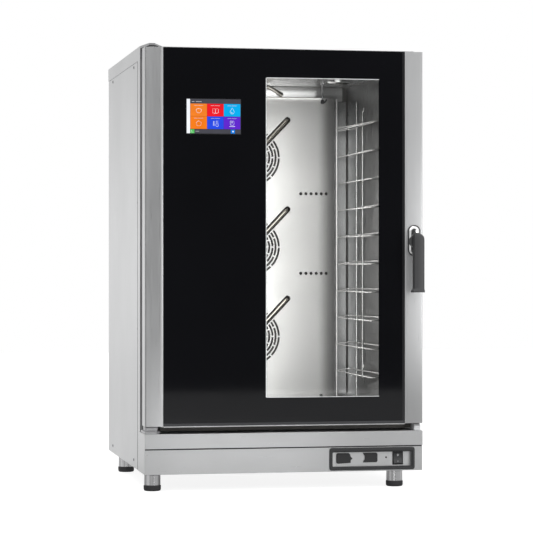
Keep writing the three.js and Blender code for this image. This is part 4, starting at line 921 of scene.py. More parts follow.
def inlet_valve():
    """The water inlet: a solenoid body behind the panel and a threaded spigot through it."""
    (x0, x1), (y0, y1), (z0, z1) = span("water_inlet_valve")
    centre = (middle((x0, x1)), 0, z0 + 22 * MM)
    radius = 13 * MM
    skin = span("rear_panel")[1][1]
    bm = bmesh.new()
    add_box(bm, (x0, y0, z0), (x1, skin - 6 * MM, z0 + 44 * MM))
    add_box(bm, (x0 + 6 * MM, y0 + 8 * MM, z0 + 43 * MM), (x1 - 6 * MM, skin - 14 * MM, z1))
    piece_from(bm, "inlet_valve_body", "dark_plastic", "cabinet", ("water_inlet_valve",), 2 * MM)
    bm = bmesh.new()
    profile = [(0, y1 - 0.5 * MM - 4 * MM), (8.5 * MM, y1 - 4.5 * MM), (9 * MM, y1), (radius - 1 * MM, y1)]
    ridge = y1 - 1.5 * MM
    while ridge > skin + 9 * MM:
        profile += [(radius, ridge), (radius - 1.1 * MM, ridge - 1 * MM)]
        ridge -= 2 * MM
    profile += [(radius - 1.1 * MM, skin + 6 * MM), (radius, skin + 5.5 * MM), (radius, skin - 8 * MM), (0, skin - 8 * MM)]
    add_turned(bm, [(r, h - y0) for r, h in profile], (centre[0], y0, centre[2]), (0, 1, 0), 40)
    add_turned(bm, [(radius + 0.2 * MM, 0), (19 * MM, 0), (19 * MM, 4 * MM), (18 * MM, 5 * MM), (radius + 0.2 * MM, 5 * MM),
                    (radius + 0.2 * MM, 0)], (centre[0], skin + 0.2 * MM, centre[2]), (0, 1, 0), 6)
    piece_from(bm, "inlet_valve_spigot", "turned", "cabinet", ())


def gland():
    """The cable gland: a lock nut, a hexagon body and a domed cap nut with its seal, left empty."""
    (x0, x1), (y0, y1), (z0, z1) = span("cable_gland")
    centre = (middle((x0, x1)), 0, middle((z0, z1)))
    skin = span("rear_panel")[1][1]
    bm = bmesh.new()
    add_turned(bm, [(6 * MM, 0), (9.5 * MM, 0), (9.5 * MM, 14 * MM), (6 * MM, 14 * MM), (6 * MM, 0)],
               (centre[0], skin - 12 * MM, centre[2]), (0, 1, 0), 32)
    for start, depth in ((-9.6 * MM, 5 * MM), (0.4 * MM, 6 * MM)):
        add_turned(bm, [(9.6 * MM, 0), (14 * MM, 0), (15 * MM, 1 * MM), (15 * MM, depth - 1 * MM), (14 * MM, depth),
                        (9.6 * MM, depth), (9.6 * MM, 0)], (centre[0], skin + start, centre[2]), (0, 1, 0), 6)
    add_turned(bm, [(6.2 * MM, 0), (12.5 * MM, 0), (12.8 * MM, 1 * MM), (12.8 * MM, 9 * MM), (11.5 * MM, 14 * MM),
                    (9 * MM, y1 - skin - 7 * MM), (6.2 * MM, y1 - skin - 7 * MM), (6.2 * MM, 0)],
               (centre[0], skin + 7 * MM, centre[2]), (0, 1, 0), 32)
    for i in range(12):
        angle = math.radians(30 * i)
        spot = Vector((centre[0] + 12.6 * MM * math.cos(angle), skin + 12 * MM, centre[2] + 12.6 * MM * math.sin(angle)))
        add_tube(bm, [spot - Vector((0, 3.5 * MM, 0)), spot + Vector((0, 3 * MM, 0))], 1 * MM, 8)
    piece_from(bm, "cable_gland_nuts", "dark_plastic", "cabinet", ("cable_gland",))
    bm = bmesh.new()
    add_turned(bm, [(0, 0), (6.1 * MM, 0), (6.1 * MM, 4 * MM), (0, 1 * MM)], (centre[0], y1 - 6 * MM, centre[2]), (0, 1, 0), 32)
    piece_from(bm, "cable_gland_seal", "rubber", "cabinet", ())


# ---------------------------------------------------------------- door


def door_shell():
    """The two folded stiles with their soft-cornered fronts, and the pan behind the glass."""
    crown = 0.35 * MM
    thick = 1.5 * MM
    for node in ("door_stile_left", "door_stile_right"):
        (x0, x1), (y0, y1), (z0, z1) = span(node)
        side = -1 if x0 < 0 else 1
        outer, inner = (x0, x1) if side < 0 else (x1, x0)
        width = abs(outer - inner)
        corner = 2.2 * MM
        front = []
        slope = 5.5 * MM if side < 0 else 1 * MM
        for i in range(13):
            t = i / 12
            x = inner + side * (slope + (width - corner - slope) * t)
            front.append((x, y0 + crown * (2 * t - 1) ** 2))
        round_out = [(outer - side * corner * (1 - math.sin(a)), y0 + crown + corner * (1 - math.cos(a)))
                     for a in (math.radians(15 * i) for i in range(1, 7))]
        skin = [(inner, y0 + crown + thick * 2), (inner, y0 + crown + slope * 0.26)] + front + round_out
        skin += [(outer, y1 - 1 * MM), (outer - side * 1 * MM, y1), (x0 + 43 * MM if side < 0 else x1 - 43 * MM, y1),
                 (x0 + 43 * MM if side < 0 else x1 - 43 * MM, y1 - thick), (outer - side * thick, y1 - thick),
                 (outer - side * thick, y0 + crown + corner + thick * 0.6),
                 (outer - side * (thick + 1.2 * MM), y0 + crown + thick)]
        bm = bmesh.new()
        add_prism(bm, skin, z0, z1)
        # painted shade: the right stile takes its own darker finish
        finish = "brushed_upright" if side < 0 else "stile_right"
        piece_from(bm, node + "_skin", finish, "door", (node,), 0.25 * MM, 2)
    (x0, x1), (y0, _), (z0, z1) = span("door_stile_left")
    # painted shade: a dark strip along the left stile's front near its outer fold, standing for the dark line the fold
    # shows
    bm = bmesh.new()
    add_box(bm, (x0 + 1.9 * MM, y0 + 0.15 * MM, z0 + 0.5 * MM), (x0 + 3.2 * MM, y0 + 0.6 * MM, z1 - 0.5 * MM))
    piece_from(bm, "stile_fold_line", "dark_paint", "door", ())
    (x0, x1), (y0, _), (z0, _) = span("door_pan")
    bm = bmesh.new()
    add_box(bm, (x0 + 50 * MM, y0 + 0.3 * MM, z0 - 2.8 * MM), (x1 - 50 * MM, y0 + 2 * MM, z0 + 0.3 * MM))
    piece_from(bm, "door_bottom_edge", "brushed_level", "door", (), 0.4 * MM)
    # painted shade: the steel pan behind the glass takes the dark finish, for the shade it stands in
    refined("door_pan", "dark_paint", 0.5 * MM)


WINDOW = (-55 * MM, 265 * MM, 252 * MM, 1132 * MM)


def door_glass():
    """The outer pane: black print all round, with the clear window and the display's cut-out."""
    (x0, x1), (y0, y1), (z0, z1) = span("outer_glass")
    (sx0, sx1), _, _ = span("touch_screen")
    sx0, sx1 = sx0 + 8.7 * MM, sx1 - 8.7 * MM
    sz0, sz1 = span("touch_screen")[2]
    sz0, sz1 = sz0 + 8.7 * MM, sz1 - 8.7 * MM
    wx0, wx1, wz0, wz1 = WINDOW
    xs = [x0, sx0, sx1, wx0, wx1, x1]
    zs = [z0, wz0, sz0, sz1, wz1, z1]
    bm = bmesh.new()
    grid = {(i, j, k): bm.verts.new((x, y, z))
            for i, x in enumerate(xs) for j, z in enumerate(zs) for k, y in enumerate((y0, y1))}
    kept = {(i, j) for i in range(5) for j in range(5) if (i, j) != (1, 2)}
    for i, j in kept:
        clear = i == 3 and 1 <= j <= 3
        for k in (0, 1):
            face = bm.faces.new([grid[(i, j, k)], grid[(i + 1, j, k)], grid[(i + 1, j + 1, k)], grid[(i, j + 1, k)]])
            face.material_index = 1 if clear else 0
        sides = (((i, j), (i + 1, j), (0, -1)), ((i + 1, j), (i + 1, j + 1), (1, 0)),
                 ((i + 1, j + 1), (i, j + 1), (0, 1)), ((i, j + 1), (i, j), (-1, 0)))
        for a, b, step in sides:
            if (i + step[0], j + step[1]) not in kept:
                bm.faces.new([grid[(*a, 0)], grid[(*b, 0)], grid[(*b, 1)], grid[(*a, 1)]])
    piece_from(bm, "door_glass_pane", ["print", "clear"], "door", ("outer_glass",), 0.5 * MM, 2)
    bm = bmesh.new()
    add_box(bm, (x1 - 7 * MM, y0 - 0.04 * MM, z0 + 1 * MM), (x1 - 0.8 * MM, y0 + 0.5 * MM, z1 - 1 * MM))
    piece_from(bm, "glass_print_edge", "print_edge", "door", ())
    bm = bmesh.new()
    rim = (y0 - 0.05 * MM, y0 + 0.5 * MM)
    add_box(bm, (wx0, rim[0], wz0), (wx0 + 1.8 * MM, rim[1], wz1))
    add_box(bm, (wx0, rim[0], wz1 - 1.8 * MM), (wx1, rim[1], wz1))
    add_box(bm, (wx0, rim[0], wz0), (wx1, rim[1], wz0 + 1.6 * MM))
    piece_from(bm, "window_rim", "white_print", "door", ())


def inner_door():
    """The inner frame with its rounded lip, the inner pane, and the bulb seal that meets the cavity."""
    (x0, x1), (y0, y1), (z0, z1) = span("inner_frame")
    (gx0, gx1), (gy0, gy1), (gz0, gz1) = span("inner_glass")
    bm = bmesh.new()
    add_plate(bm, [round_rect(x0, x1, z0, z1, 14 * MM), round_rect(gx0 - 0.3 * MM, gx1 + 0.3 * MM, gz0 - 0.3 * MM,
                                                                gz1 + 0.3 * MM, 6 * MM)], y0, y1)
    piece_from(bm, "inner_frame_skin", "chamber", "door", ("inner_frame",), 1.5 * MM)
    bm = bmesh.new()
    add_plate(bm, [round_rect(gx0, gx1, gz0, gz1, 5.5 * MM)], gy0, gy1)
    piece_from(bm, "inner_glass_pane", "clear", "door", ("inner_glass",), 0.5 * MM, 2)
    bm = bmesh.new()
    for z, x in ((gz0 + 90 * MM, gx1 - 4 * MM), (gz1 - 90 * MM, gx1 - 4 * MM), (gz0 + 90 * MM, gx0 + 4 * MM),
                 (gz1 - 90 * MM, gx0 + 4 * MM)):
        add_box(bm, (x - 10 * MM, gy1 + 0.1 * MM, z - 14 * MM), (x + 10 * MM, gy1 + 2.4 * MM, z + 14 * MM))
    piece_from(bm, "inner_glass_clips", "polished", "door", (), 0.8 * MM)
    (x0, x1), (y0, y1), (z0, z1) = span("door_gasket")
    half = 6.4 * MM
    bm = bmesh.new()
    path = [(x, middle((y0, y1)), z) for x, z in
            round_rect(x0 + half, x1 - half, z0 + half, z1 - half, 12 * MM, 8)]
    add_seal(bm, path, half, (y1 - y0) / 2)
    piece_from(bm, "door_seal", "rubber", "door", ("door_gasket",))


def add_seal(bm, path, across, depth):
    """A closed seal in an upright plane: an oval bulb with two lips towards the cavity."""
    count = len(path)
    rings = []
    for i, point in enumerate(path):
        before, after = Vector(path[i - 1]), Vector(path[(i + 1) % count])
        along = (after - before).normalized()
        out = along.cross(Vector((0, 1, 0))).normalized()
        ring = []
        for k in range(20):
            a = 2 * math.pi * k / 20
            lip = 1.0 if math.sin(a) < 0 else 0.78 + 0.22 * abs(math.cos(2 * a))
            ring.append(Vector(point) + out * across * math.cos(a) + Vector((0, 1, 0)) * depth * lip * math.sin(a))
        rings.append(ring)
    join_rings(bm, rings, closed=True)


# ---------------------------------------------------------------- touch display

TILE_COLOURS = [
    [(0.9, 0.22, 0.02), (0.85, 0.01, 0.02), (0.0, 0.42, 0.85)],
    [(0.9, 0.2, 0.01), (0.02, 0.07, 0.78), (0.12, 0.02, 0.62)],
]
for number, row in enumerate(TILE_COLOURS):
    for column, colour in enumerate(row):
        FINISH[f"tile_{number}_{column}"] = lit(f"tile_{number}_{column}", colour, 0.85)
FINISH["tile_white"] = lit("tile_white", (0.85, 0.88, 0.92), 0.9)
FINISH["tile_bar"] = lit("tile_bar", (0.06, 0.06, 0.075), 0.9)
FINISH["tile_label"] = lit("tile_label", (0.62, 0.62, 0.66), 0.7)
FINISH["tile_green"] = lit("tile_green", (0.08, 0.5, 0.1), 0.9)
FINISH["tile_blue"] = lit("tile_blue", (0.0, 0.2, 0.75), 0.9)


def display():
    """A lit touch display: a side bar, a header, six coloured tiles with line icons, and a footer."""
    (x0, x1), (y0, y1), (z0, z1) = span("touch_screen")
    x0, x1, z0, z1 = x0 + 9 * MM, x1 - 9 * MM, z0 + 9 * MM, z1 - 9 * MM
    glass = span("outer_glass")[1][0]
    bm = bmesh.new()
    add_box(bm, (x0, glass + 1.0 * MM, z0), (x1, glass + 6 * MM, z1))
    add_box(bm, (x0 - 9 * MM, glass + 5.3 * MM, z0 - 9 * MM), (x1 + 9 * MM, y1, z1 + 9 * MM))
    piece_from(bm, "display_body", "dark_plastic", "door", ("touch_screen",), 0.3 * MM, 2)
    bar, header, footer, edge = 10 * MM, 12.5 * MM, 11.5 * MM, 1.2 * MM
    left, right, bottom, top = x0 + edge, x1 - edge, z0 + edge, z1 - edge
    tile_left = left + bar
    width = (right - tile_left) / 3
    height = (top - header - bottom - footer) / 2
    patches = {
        "display_side_bar": ("tile_white", left, left + bar - 0.8 * MM, bottom, top),
        "display_header": ("tile_bar", tile_left, right, top - header, top),
        "display_footer": ("tile_bar", tile_left, right, bottom, bottom + footer - 0.5 * MM),
        "display_green": ("tile_green", tile_left, tile_left + 11 * MM, bottom + 0.2 * MM, bottom + footer - 0.7 * MM),
        "display_blue": ("tile_blue", right - 27 * MM, right - 15.5 * MM, bottom + 0.2 * MM, bottom + footer - 0.7 * MM),
    }
    for row in range(2):
        for column in range(3):
            a = tile_left + column * width
            b = top - header - (row + 1) * height
            patches[f"display_tile_{row}_{column}"] = (f"tile_{row}_{column}", a, a + width - 0.6 * MM, b + 0.6 * MM, b + height)
    for name, (finish, a, b, c, d) in patches.items():
        depth = glass + (0.5 if name in ("display_green", "display_blue") else 0.6) * MM
        bm = bmesh.new()
        add_plate(bm, [round_rect(a, b, c, d, 0.5 * MM, 2)], depth, glass + 1.0 * MM)
        piece_from(bm, name, finish, "door", ())
    bm = bmesh.new()
    for row in range(2):
        for column in range(3):
            cx = tile_left + (column + 0.5) * width
            cz = top - header - (row + 0.56) * height
            for loop, closed in icon(row * 3 + column):
                add_tube(bm, [(cx + u * MM, glass + 0.5 * MM, cz + v * MM) for u, v in loop], 0.95 * MM, 8, closed, 0.25)
    tick = bottom + footer / 2
    add_tube(bm, [(tile_left + 3.5 * MM, glass + 0.4 * MM, tick + 3 * MM), (tile_left + 3.5 * MM, glass + 0.4 * MM, tick - 2.5 * MM),
                  (tile_left + 7.5 * MM, glass + 0.4 * MM, tick - 2.5 * MM)], 0.7 * MM, 8, False, 0.25)
    add_turned(bm, [(0, 0), (2.2 * MM, 0), (2.2 * MM, 0.1 * MM), (0, 0.1 * MM)],
               (right - 21 * MM, glass + 0.5 * MM, tick), (0, -1, 0), 20)
    piece_from(bm, "display_icons", "tile_white", "door", ())
    bm = bmesh.new()
    for row in range(2):
        for column in range(3):
            cx = tile_left + (column + 0.5) * width
            cz = top - header - row * height - 5 * MM
            for start, end in ((-13, -3), (-1.5, 12)):
                add_tube(bm, [(cx + start * MM, glass + 0.5 * MM, cz), (cx + end * MM, glass + 0.5 * MM, cz)], 0.8 * MM, 8, False, 0.25)
    for start, end in ((4, 11), (15, 31)):
        add_tube(bm, [(tile_left + start * MM, glass + 0.5 * MM, top - header * 0.55),
                      (tile_left + end * MM, glass + 0.5 * MM, top - header * 0.55)], 1.1 * MM, 8, False, 0.25)
    add_tube(bm, [(tile_left + 14 * MM, glass + 0.5 * MM, tick), (tile_left + 24 * MM, glass + 0.5 * MM, tick)], 0.8 * MM, 8, False, 0.25)
    piece_from(bm, "display_labels", "tile_label", "door", ())


def icon(number):
    """Line drawings, in millimetres about a tile's middle: (points, closed) pairs."""
    if number == 0:
        body = [(7 * math.cos(a) * (1 + 0.15 * math.sin(3 * a)), 6.6 * math.sin(a) * (1 + 0.12 * math.cos(2 * a)))
                for a in (2 * math.pi * i / 24 for i in range(24))]
        return [(body, True)]
    if number == 1:
        left = [(0, -5.5), (-2.5, -6.5), (-8, -5), (-8, 5.5), (-2.5, 6), (0, 4)]
        return [(left, False), ([(-x, y) for x, y in left], False), ([(0, -5.5), (0, 4)], False)]
    if number == 2:
        drop = [(0, 8.5)] + arc((0, -2.2), 5.6, 35, -215, 18)
        return [(drop, True), (arc((0, -2.2), 2.4, 200, 290, 6), False)]
    if number == 3:
        return [([(8 * math.cos(math.radians(90 + 72 * i)), 7.6 * math.sin(math.radians(90 + 72 * i)))
                  for i in range(5)], True)]
    if number == 4:
        bulb = [(2.2, 7.5)] + arc((4.2, -4.2), 3.6, 125, 415, 16) + [(6.2, 7.5)]
        slim = [(-5.5, 7)] + arc((-4.6, -3.4), 1.7, 120, 420, 10) + [(-3.7, 7)]
        return [(bulb, True), (slim, True)]
    cup = [(-5.5, 7.5), (-5.5, 1)] + arc((0, 1), 5.5, 180, 360, 10) + [(5.5, 7.5)]
    return [(cup, True), ([(-8, -7.2), (8, -7.2)], False), (arc((0, 3.5), 2, 0, 360, 12)[:-1], True)]


# ---------------------------------------------------------------- hinges, latch and handle


def hinges():
    refined("hinge_bracket_top", "cast", 1.2 * MM)
    refined("hinge_bracket_bottom", "cast", 1.2 * MM)
    (x0, x1), (y0, _), (z0, _) = span("hinge_bracket_bottom")
    bm = bmesh.new()
    add_box(bm, (x0 + 2 * MM, y0 + 2 * MM, z0 + 8 * MM), (x1 - 8 * MM, y0 + 46 * MM, z0 + 19.4 * MM))
    piece_from(bm, "hinge_bottom_block", "cast", "cabinet", (), 2 * MM)
    # painted highlight: the door rest is made white for the bright white seen at the door's lower right corner
    refined("door_rest", "white_print", 1.5 * MM)
    refined("latch_keeper", "polished", 0.8 * MM)
    (x0, x1), (y0, y1), (z0, z1) = span("latch_keeper")
    bm = bmesh.new()
    for z in (z0 + 7 * MM, z1 - 7 * MM):
        add_screw(bm, (middle((x0, x1)), y0, z), (0, -1, 0), 3.4 * MM, 1.6 * MM)
    piece_from(bm, "latch_keeper_screws", "polished", "cabinet", ())
    (x0, x1), (y0, y1), (z0, z1) = span("hinge_bracket_top")
    bm = bmesh.new()
    add_prism(bm, [(x0 + 12 * MM, y0 + 0.5 * MM), (x1 - 22 * MM, y0 + 0.5 * MM), (x1 + 10 * MM, y1 - 16 * MM),
                   (x1 + 14 * MM, y1), (x0 + 4 * MM, y1)], z1 - 6 * MM, z1)
    piece_from(bm, "hinge_top_wing", "cast", "cabinet", (), 1.2 * MM)
    bm = bmesh.new()
    for x in (x0 + 13 * MM, x1 - 13 * MM):
        add_screw(bm, (x, y1 - 4 * MM, z0 + 12 * MM), (0, -1, 0), 4 * MM, 2 * MM)
    piece_from(bm, "hinge_screws", "polished", "cabinet", ())


def escutcheon():
    """The oval plate under the handle: a raised polished face inside a dark rim."""
    (x0, x1), (y0, y1), (z0, z1) = span("handle_escutcheon")
    inset = 2.6 * MM
    radius = (x1 - x0) / 2 - inset
    bm = bmesh.new()
    rings = []
    for step, y in ((0, y1), (0, y0 + 3.4 * MM), (1.2, y0 + 2.1 * MM), (3.2, y0 + 1.1 * MM), (6, y0 + 0.5 * MM),
                    (9.5, y0 + 0.1 * MM)):
        edge = inset + step * MM
        rings.append([(x, y, z) for x, z in
                      round_rect(x0 + edge, x1 - edge, z0 + edge, z1 - edge, radius - step * MM - 0.1 * MM, 12)])
    join_rings(bm, rings)
    piece_from(bm, "escutcheon_plate", "polished", "door", ("handle_escutcheon",))
    bm = bmesh.new()
    outer = round_rect(x0, x1, z0, z1, (x1 - x0) / 2, 12)
    add_plate(bm, [outer, round_rect(x0 + inset, x1 - inset, z0 + inset, z1 - inset, radius, 12)], y0 + 2.5 * MM, y1)
    piece_from(bm, "escutcheon_rim", "dark_plastic", "door", (), 0.6 * MM)


def spindle():
    """The polished spindle: a cone from the plate, a waisted neck, the bar and the latch cam."""
    (x0, x1), (y0, y1), (z0, z1) = span("handle_spindle")
    cx = middle((x0, x1))
    _, _, cz = frame_joint("handle_turn")
    plate = span("handle_escutcheon")[1][0]
    bm = bmesh.new()
    add_turned(bm, [(0, 0), (14 * MM, 0), (14.3 * MM, 1 * MM), (13 * MM, 4 * MM), (9.4 * MM, 12 * MM), (8.6 * MM, 17 * MM),
                    (9.6 * MM, 21 * MM), (9.6 * MM, 25 * MM), (0, 25 * MM)], (cx, plate - 0.3 * MM, cz), (0, -1, 0), 48)
    add_tube(bm, [(cx, plate - 2 * MM, cz), (cx, y1 - 4 * MM, cz)], 6.8 * MM, 28)
    piece_from(bm, "handle_neck", "polished", "door_handle", ("handle_spindle",))
    bm = bmesh.new()
    cam = [(cx - 4 * MM, cz - 9 * MM), (cx + 4 * MM, cz - 9 * MM), (cx + 4 * MM, cz + 9 * MM), (cx - 4 * MM, cz + 9 * MM)]
    add_plate(bm, [cam], y1 - 7 * MM, y1)
    piece_from(bm, "latch_cam", "polished", "door_handle", (), 1.2 * MM)


def frame_joint(name):
    return next(joint for joint in frame["joints"] if joint["name"] == name)["pos_m"]


def grip():
    """The hanging grip: a soft-edged bar with a peaked top, a shoulder back to the neck and a flared foot."""
    (x0, x1), (y0, y1), (z0, z1) = span("handle_grip")
    cx = middle((x0, x1))
    tall = z1 - z0
    bm = bmesh.new()
    rings = []
    for h in (0, 1.5, 4, 6.5, 10, 14, 40, 80, 120, 142, 149, 154, 158, 161, 163, 164.5):
        low = min(1.0, max(0.0, (10 - h) / 6))
        high = max(0.0, (h - 142) / (tall / MM - 142))
        left = x0 + (4.5 - 4.5 * low + 5 * high ** 3) * MM
        right = x1 - (0.8 - 0.8 * low + 8 * high ** 3) * MM
        front = y0 + (1.6 - 1.6 * low + 3 * high ** 4) * MM
        rear = y1 - (1.0 - 1.0 * low) * MM
        ring = []
        for x, y in round_rect(left, right, front, rear, 4.4 * MM, 6):
            share = (x - left) / (right - left)
            bow = 0.7 * MM * (2 * share - 1) ** 2 if y < middle((front, rear)) else 0
            ring.append((x, y + bow, z0 + h * MM + (1.5 - 8 * share ** 2) * MM * high ** 2))
        rings.append(ring)
    join_rings(bm, rings)
    arm = []
    for step in range(9):
        t = step / 8
        top = z1 - (4 + 6 * t) * MM
        low = z1 - (42 - 2 * t) * MM
        arm.append([(x, y1 - 4 * MM + 28.4 * MM * t, z)
                    for x, z in round_rect(cx - (15 + t) * MM, cx + (16.5 - 2 * t) * MM, low, top, (10 + 3 * t) * MM, 6)])
    join_rings(bm, arm)
    piece_from(bm, "handle_grip_body", "grip", "door_handle", ("handle_grip",), 0.9 * MM)


# ---------------------------------------------------------------- control recess


def control_panel():
    """The recessed strip: a stepped bezel, a steel plate, two rubber caps, a lamp and a rocker switch."""
    (x0, x1), (y0, y1), (z0, z1) = span("control_bezel")
    inner = (x0 + 9.5 * MM, x1 - 10 * MM, z0 + 10 * MM, z1 - 12.5 * MM)
    step = 3.2 * MM
    bm = bmesh.new()
    ledge = (inner[0] - step, inner[1] + step, inner[2] - step, inner[3] + step)
    add_plate(bm, [round_rect(x0, x1, z0, z1, 7 * MM), round_rect(*ledge, 4.5 * MM)], y0, y0 + 3 * MM)
    piece_from(bm, "control_bezel_rim", "dark_plastic", "cabinet", ("control_bezel",), 1.1 * MM)
    bm = bmesh.new()
    add_plate(bm, [round_rect(x0 + 2.8 * MM, x1 - 2.8 * MM, z0 + 2.8 * MM, z1 - 2.8 * MM, 5 * MM),
                   round_rect(*inner, 3 * MM)], y0 + 3 * MM, y1)
    piece_from(bm, "control_bezel_step", "dark_plastic", "cabinet", (), 0.7 * MM)
    refined("control_plate", "panel", 0.25 * MM, 2)
    rubber_cap("usb_cap", True)
    rubber_cap("probe_cap", False)
    rocker()
    (x0, x1), (y0, y1), (z0, z1) = span("indicator_light")
    centre = (middle((x0, x1)), y0, middle((z0, z1)))
    bm = bmesh.new()
    add_turned(bm, [(0, 0), (1.2 * MM, 0.1 * MM), (2 * MM, 0.7 * MM), (2.2 * MM, 1.6 * MM), (2.2 * MM, 6 * MM), (0, 6 * MM)],
               centre, (0, 1, 0), 24)
    piece_from(bm, "indicator_lens", "indicator", "cabinet", ("indicator_light",))


def rubber_cap(node, pointed):
    """A moulded cap; one has a small pull point, the other a finger scoop."""
    (x0, x1), (y0, y1), (z0, z1) = span(node)
    tab = 5 * MM
    edge = x1 - tab
    mid = z0 + 14 * MM
    if pointed:
        loop = [(edge, z0 + 2 * MM), (edge, mid - 5 * MM), (edge + 2.2 * MM, mid - 3 * MM), (x1, mid),
                (edge + 2.2 * MM, mid + 3 * MM), (edge, mid + 5 * MM), (edge - 1.5 * MM, z1 - 4 * MM),
                *arc((edge - 7 * MM, z1 - 5 * MM), 5 * MM, 50, 90, 4), *arc((x0 + 5 * MM, z1 - 5 * MM), 5 * MM, 90, 180, 6),
                *arc((x0 + 5 * MM, z0 + 5 * MM), 5 * MM, 180, 270, 6)]
    else:
        scoop = arc((x0 - 5 * MM, middle((z0, z1))), 11 * MM, 52, -52, 8)
        loop = [(x0, z1), *scoop, (x0, z0), *arc((x1 - 5 * MM, z0 + 5 * MM), 5 * MM, -90, 0, 6),
                *arc((x1 - 5 * MM, z1 - 5 * MM), 5 * MM, 0, 90, 6)]
    bm = bmesh.new()
    add_plate(bm, [loop], y0, y1 - 1.6 * MM)
    piece_from(bm, node + "_moulding", "rubber", BODY_OF[node], (node,), 0.7 * MM)


def rocker():
    """The mains rocker in its frame: two tilted faces with a small dot and bar, as such switches have."""
    (x0, x1), (y0, y1), (z0, z1) = span("power_switch")
    pivot = frame_joint("power_switch_rock")
    tilt = Matrix.Translation(pivot) @ Matrix.Rotation(math.radians(-7), 4, "X")
    wide = (x1 - x0) / 2 - 1.5 * MM
    tall = 15.2 * MM
    profile = [(-5.0, -14), (-5.6, -15.2), (-4, -15.5), (6, -7), (6, 7), (-4, 15.5), (-5.6, 15.2), (-5.0, 14), (-3.6, 6),
               (-3.1, 0), (-3.6, -6)]
    bm = bmesh.new()
    join_rings(bm, [[tilt @ Vector((x, y * MM, z * MM)) for y, z in profile] for x in (-wide, wide)])
    piece_from(bm, "rocker_key", "dark_plastic", "power_switch", ("power_switch",), 0.8 * MM)
    bm = bmesh.new()
    ring = [tilt @ Vector((2.2 * MM * math.cos(a), -4.6 * MM, 8 * MM + 2.2 * MM * math.sin(a)))
            for a in (2 * math.pi * i / 24 for i in range(24))]
    add_tube(bm, ring, 0.6 * MM, 8, closed=True)
    add_tube(bm, [tilt @ Vector((0, -5.1 * MM, -7.4 * MM)), tilt @ Vector((0, -5.4 * MM, -11.6 * MM))], 0.45 * MM, 8)
    piece_from(bm, "rocker_marks", "white_print", "power_switch", ())
    plate = span("control_plate")[1][0]
    cx, cz = middle((x0, x1)), pivot[2]
    bm = bmesh.new()
    add_plate(bm, [round_rect(cx - wide - 2.6 * MM, cx + wide + 2.6 * MM, cz - tall - 3 * MM, cz + tall + 3 * MM, 1.5 * MM, 4),
                   round_rect(cx - wide - 0.5 * MM, cx + wide + 0.5 * MM, cz - tall - 0.9 * MM, cz + tall + 0.9 * MM, 0.8 * MM, 3)],
              plate - 1.6 * MM, plate - 0.1 * MM)
    piece_from(bm, "rocker_frame", "dark_gap", "cabinet", (), 0.4 * MM, 2)


# ---------------------------------------------------------------- stage, light and camera


def stage():
    floor_size = 14.0
    bm = bmesh.new()
    bmesh.ops.create_grid(bm, x_segments=8, y_segments=8, size=floor_size / 2)
    mesh = bpy.data.meshes.new("studio_floor")
    bm.to_mesh(mesh)
    bm.free()
    floor = bpy.data.objects.new("studio_floor", mesh)
    floor.location = (0, 2.0, -0.0004)
    scene.collection.objects.link(floor)
    material, tree, shader, place = shader_tree("pale_floor")
    shader.inputs["Base Color"].default_value = (0.3, 0.3, 0.3, 1)
    shader.inputs["Roughness"].default_value = 0.9
    shader.inputs["Emission Color"].default_value = (1, 1, 1, 1)
    seen = tree.nodes.new("ShaderNodeLightPath").outputs["Is Camera Ray"]
    split = tree.nodes.new("ShaderNodeSeparateXYZ")
    tree.links.new(place, split.inputs["Vector"])
    glow = world_range(tree, split.outputs["Y"], -2.6, -1.4, 0.12, 0.5)
    tree.links.new(world_mix(tree, seen, glow, 0.84), shader.inputs["Emission Strength"])
    mesh.materials.append(material)


def surroundings():
    """A white studio: bright behind the oven, with a dark card in front where the glass would mirror it."""
    world = bpy.data.worlds.new("studio")
    scene.world = world
    world.use_nodes = True
    tree = world.node_tree
    background = tree.nodes["Background"]
    background.inputs["Color"].default_value = (1, 1, 1, 1)
    direction = tree.nodes.new("ShaderNodeTexCoord").outputs["Generated"]
    split = tree.nodes.new("ShaderNodeSeparateXYZ")
    tree.links.new(direction, split.inputs["Vector"])
    height = world_math(tree, "ABSOLUTE", split.outputs["Z"])
    behind = world_range(tree, height, 0.0, 0.12, 1.05, 0.72)
    ahead = world_range(tree, height, 0.08, 0.3, 0.75, 1.3)
    card = tree.nodes.new("ShaderNodeVectorMath")
    card.operation = "DOT_PRODUCT"
    card.inputs[1].default_value = Vector((0.2, -0.98, 0.012)).normalized()
    tree.links.new(direction, card.inputs[0])
    shaded = world_math(tree, "MULTIPLY", ahead, world_range(tree, card.outputs["Value"], 0.95, 0.988, 1.0, 0.07))
    turn = world_range(tree, split.outputs["Y"], -0.3, 0.3, 0.0, 1.0)
    flank = world_range(tree, split.outputs["X"], -0.93, -0.78, 0.2, 1.0)
    seen = tree.nodes.new("ShaderNodeLightPath").outputs["Is Camera Ray"]
    around = world_math(tree, "MULTIPLY", world_mix(tree, turn, shaded, behind), flank)
    level = world_mix(tree, seen, around, 1.0)
    tree.links.new(level, background.inputs["Strength"])


def world_math(tree, operation, first, second=0.0):
    node = tree.nodes.new("ShaderNodeMath")
    node.operation = operation
    for socket, value in zip(node.inputs, (first, second)):
        if isinstance(value, float):
            socket.default_value = value
        else:
            tree.links.new(value, socket)
    return node.outputs[0]


def world_mix(tree, factor, first, second):
    node = tree.nodes.new("ShaderNodeMix")
    tree.links.new(factor, node.inputs[0])
    for socket, value in ((node.inputs[2], first), (node.inputs[3], second)):
        if isinstance(value, float):
            socket.default_value = value
        else:
            tree.links.new(value, socket)
    return node.outputs[0]


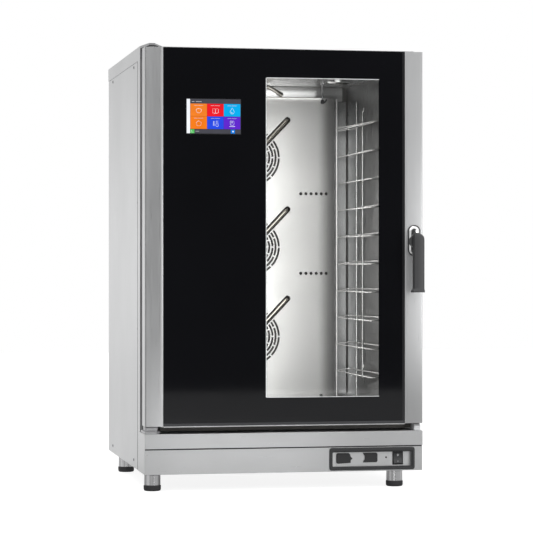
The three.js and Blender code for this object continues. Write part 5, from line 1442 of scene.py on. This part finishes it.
def lamp(name, place, target, size, power):
    light = bpy.data.lights.new(name, "AREA")
    light.shape = "RECTANGLE"
    light.size, light.size_y = size
    light.energy = power
    thing = bpy.data.objects.new(name, light)
    thing.location = place
    thing.rotation_euler = (Vector(target) - Vector(place)).to_track_quat("-Z", "Y").to_euler()
    scene.collection.objects.link(thing)
    return thing


def studio():
    lamp("softbox_right", (1.2, -1.9, 0.62), (0.36, -0.4, 0.62), (0.5, 0.6), 4.2)
    lamp("softbox_top", (-0.6, -0.6, 3.2), (0, 0, 0.6), (2.6, 2.0), 25)
    low = lamp("softbox_low", (0.08, -1.75, 0.035), (0.0, -0.4, 0.1), (0.6, 0.06), 0.5)
    low.visible_camera = False
    cavity = span("cavity_wrap")
    inside = lamp("cavity_glow", (-0.02, cavity[1][0] + 0.03, 0.62), (0.0, 0.2, 0.58), (0.4, 0.9), 4.9)
    inside.visible_camera = False
    duct = lamp("duct_glow", (0.14, 0.178, 1.146), (0.14, 0.246, 1.149), (0.2, 0.018), 0.05)
    duct.visible_camera = False
    bpy.context.view_layer.update()
    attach(inside, "door")


def camera():
    data = bpy.data.cameras.new("camera")
    data.sensor_width = 36
    data.lens = 145.19
    eye = bpy.data.objects.new("camera", data)
    eye.location = (-1.1874, -6.1985, 0.6125)
    eye.rotation_euler = (math.radians(90), 0, math.radians(-11.075))
    scene.collection.objects.link(eye)
    scene.camera = eye


def build():
    camera()
    casing()
    side_screws()
    for row in ("front", "rear"):
        for column in ("left", "right"):
            foot(f"foot_{row}_{column}")
    cavity_shell()
    baffle()
    water_tubes()
    for place in FAN_NAMES:
        fan_wheel(place)
        heater(place)
    wash_arm()
    core_probe()
    cavity_lamp()
    tray_rack("tray_rack_left")
    tray_rack("tray_rack_right")
    drain()
    chimney()
    inlet_valve()
    gland()
    door_shell()
    door_glass()
    inner_door()
    display()
    hinges()
    escutcheon()
    spindle()
    grip()
    control_panel()
    stage()
    surroundings()
    studio()
    scene.view_settings.view_transform = "Standard"


build()
bpy.context.view_layer.update()
